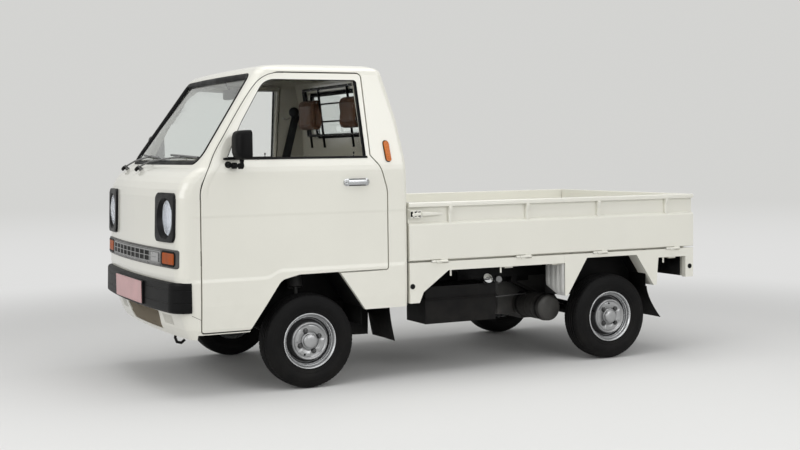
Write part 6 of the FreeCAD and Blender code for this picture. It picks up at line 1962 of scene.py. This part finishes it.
# %% Pressed wheel-house walls ahead of the rear wheels
WALL_START, WALL_STEP, RIDGE, RIDGE_PITCH = 497, 4.0, 6.0, 48.0
rows = []
for k in range(49):
    x = WALL_START + k * WALL_STEP
    wave = math.sin((x - WALL_START) / RIDGE_PITCH * math.pi) ** 2
    ridge = RIDGE * max(0.0, min(1.0, 2.4 * wave - 0.5))
    low = 425 - 45 * min(1.0, k / 30)
    section = ((686.5, 606, 0), (686.5, 590, 0), (685.0, 574, 1), (685.0, low + 26, 1), (686.5, low + 12, 0),
               (688.5, low, 0))
    rows.append([mm(x, y - ridge * share, z) for y, z, share in section])
near_wall = loft(rows, closed=False)
piece("rear_wheel_walls", both_sides(near_wall), heat_shield, crease=50)
print("pressed wall rows", len(rows))

# %% Dark lining of the rear wheel houses, and a black sheet of painted shade across the middle
for side, label in SIDES:
    dark_wall("rear_house_inner_" + label,
              [(side * 508, y, z) for y, z in ((748, 372), (748, 612), (1280, 612), (1280, 372))])
    dark_wall("rear_house_front_" + label,
              [(side * x, 748, z) for x, z in ((508, 372), (680, 384), (680, 612), (508, 612))])
    dark_wall("rear_house_back_" + label,
              [(side * x, 1259, z) for x, z in ((508, 372), (668, 398), (668, 612), (508, 612))])
    # The cross shade is a black sheet with no real part behind it: painted shade that closes the gap under the bed.
    dark_wall("cross_shade_" + label,
              [(side * 300, y, z) for y, z in ((-262, 436), (-262, 606), (690, 606), (690, 436))])
print("rear linings on", [label for _, label in SIDES])

# %% [markdown]
# The tank is two pressed halves welded along a flange. Its cap has a wing to turn it by, and a hose
# fitting and two brake pipes are the only bare metal beside it.

# %% Tank flange, wing of the filler cap and hose fitting
TANK_LOW, TANK_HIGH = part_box("fuel_tank")
x0, y0, z0 = (v * 1000 for v in TANK_LOW)
x1, y1, z1 = (v * 1000 for v in TANK_HIGH)
flange_z = z0 + (z1 - z0) * 0.5
flange_path = [mm(x, y, flange_z) for x, y in ((x0 - 4, y0 - 4), (x1 - 1, y0 - 4), (x1 - 1, y1 + 4), (x0 - 4, y1 + 4))]
flange = bar(flange_path, slab_section(0.012, 0.003, 0.0008), bend=0.02, up=(0, 0, 1), closed=True)
piece("tank_flange", flange, frame_paint)
cap_mid = Vector([(a + b) / 2 for a, b in zip(*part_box("fuel_cap"))])
wing_path = [cap_mid + Vector(step) for step in ((0.020, -0.017, 0.010), (0.026, 0.0, 0.013), (0.020, 0.017, 0.010))]
piece("filler_cap_wing", bar(wing_path, slab_section(0.008, 0.005, 0.0015), bend=0.008), nut_steel)
fitting = lathe([(0, 0.5), (0, 20), (4, 22), (26, 21), (30, 17), (30, 0.5)], (0.560, 0.326, 0.480),
                (1, -0.2, 0.2), 28)
piece("hose_fitting", fitting, nut_steel)
print("tank flange at z", round(flange_z))

# %% Brake pipes
PIPE_ROUTE = ((360, -700, 372), (362, -200, 356), (362, 300, 356), (362, 860, 372))
pipes = [bar([mm(side * x, y, z) for x, y, z in PIPE_ROUTE], disc_section(0.0045, 10), bend=0.05) for side, _ in SIDES]
piece("brake_pipes", joined(*pipes), nut_steel)
print("brake pipes", len(pipes))

# %% [markdown]
# ## Tail lamps
# Behind the tailgate's corners sit two red lamps. Each is a ribbed lens in a black frame: the frame is a
# moulding round the lens's outline, and the ribs are thin strips across it that break up the light.

# %% Tail lamp frames and ribs
TAIL_LAMP_Y = 1588.6
TAIL_OUTLINE = [(520, 482, 8), (658, 482, 8), (658, 558, 8), (520, 558, 8)]
TAIL_FRAME = [(1.6, -4), (1.6, 1.6), (0.6, 2.4), (-2.4, 2.4), (-3.4, 1.4), (-3.4, -1)]


def on_tail(x, z, proud):
    """A place on the flat plane of the tail lamps."""
    return mm(x, TAIL_LAMP_Y + proud, z)


frames, ribs = [], []
for side, _ in SIDES:
    outline = [(side * x, z, corner) for x, z, corner in TAIL_OUTLINE][::side]
    frames.append(moulding(outline, TAIL_FRAME, on_tail, run=6))
    for k in range(9):
        z = 490 + k * 7.5
        ribs.append(level_strip(((side * 525, z), (side * 653, z)), [(-2.4, 0.0), (0, 1.6), (2.4, 0.0)], on_tail,
                                steps=4))
piece("tail_lamp_frames", joined(*frames), satin_black)
piece("tail_lamp_ribs", joined(*ribs), red_lens)
print("tail lamp ribs", len(ribs))

# %% [markdown] ## End of the dressing
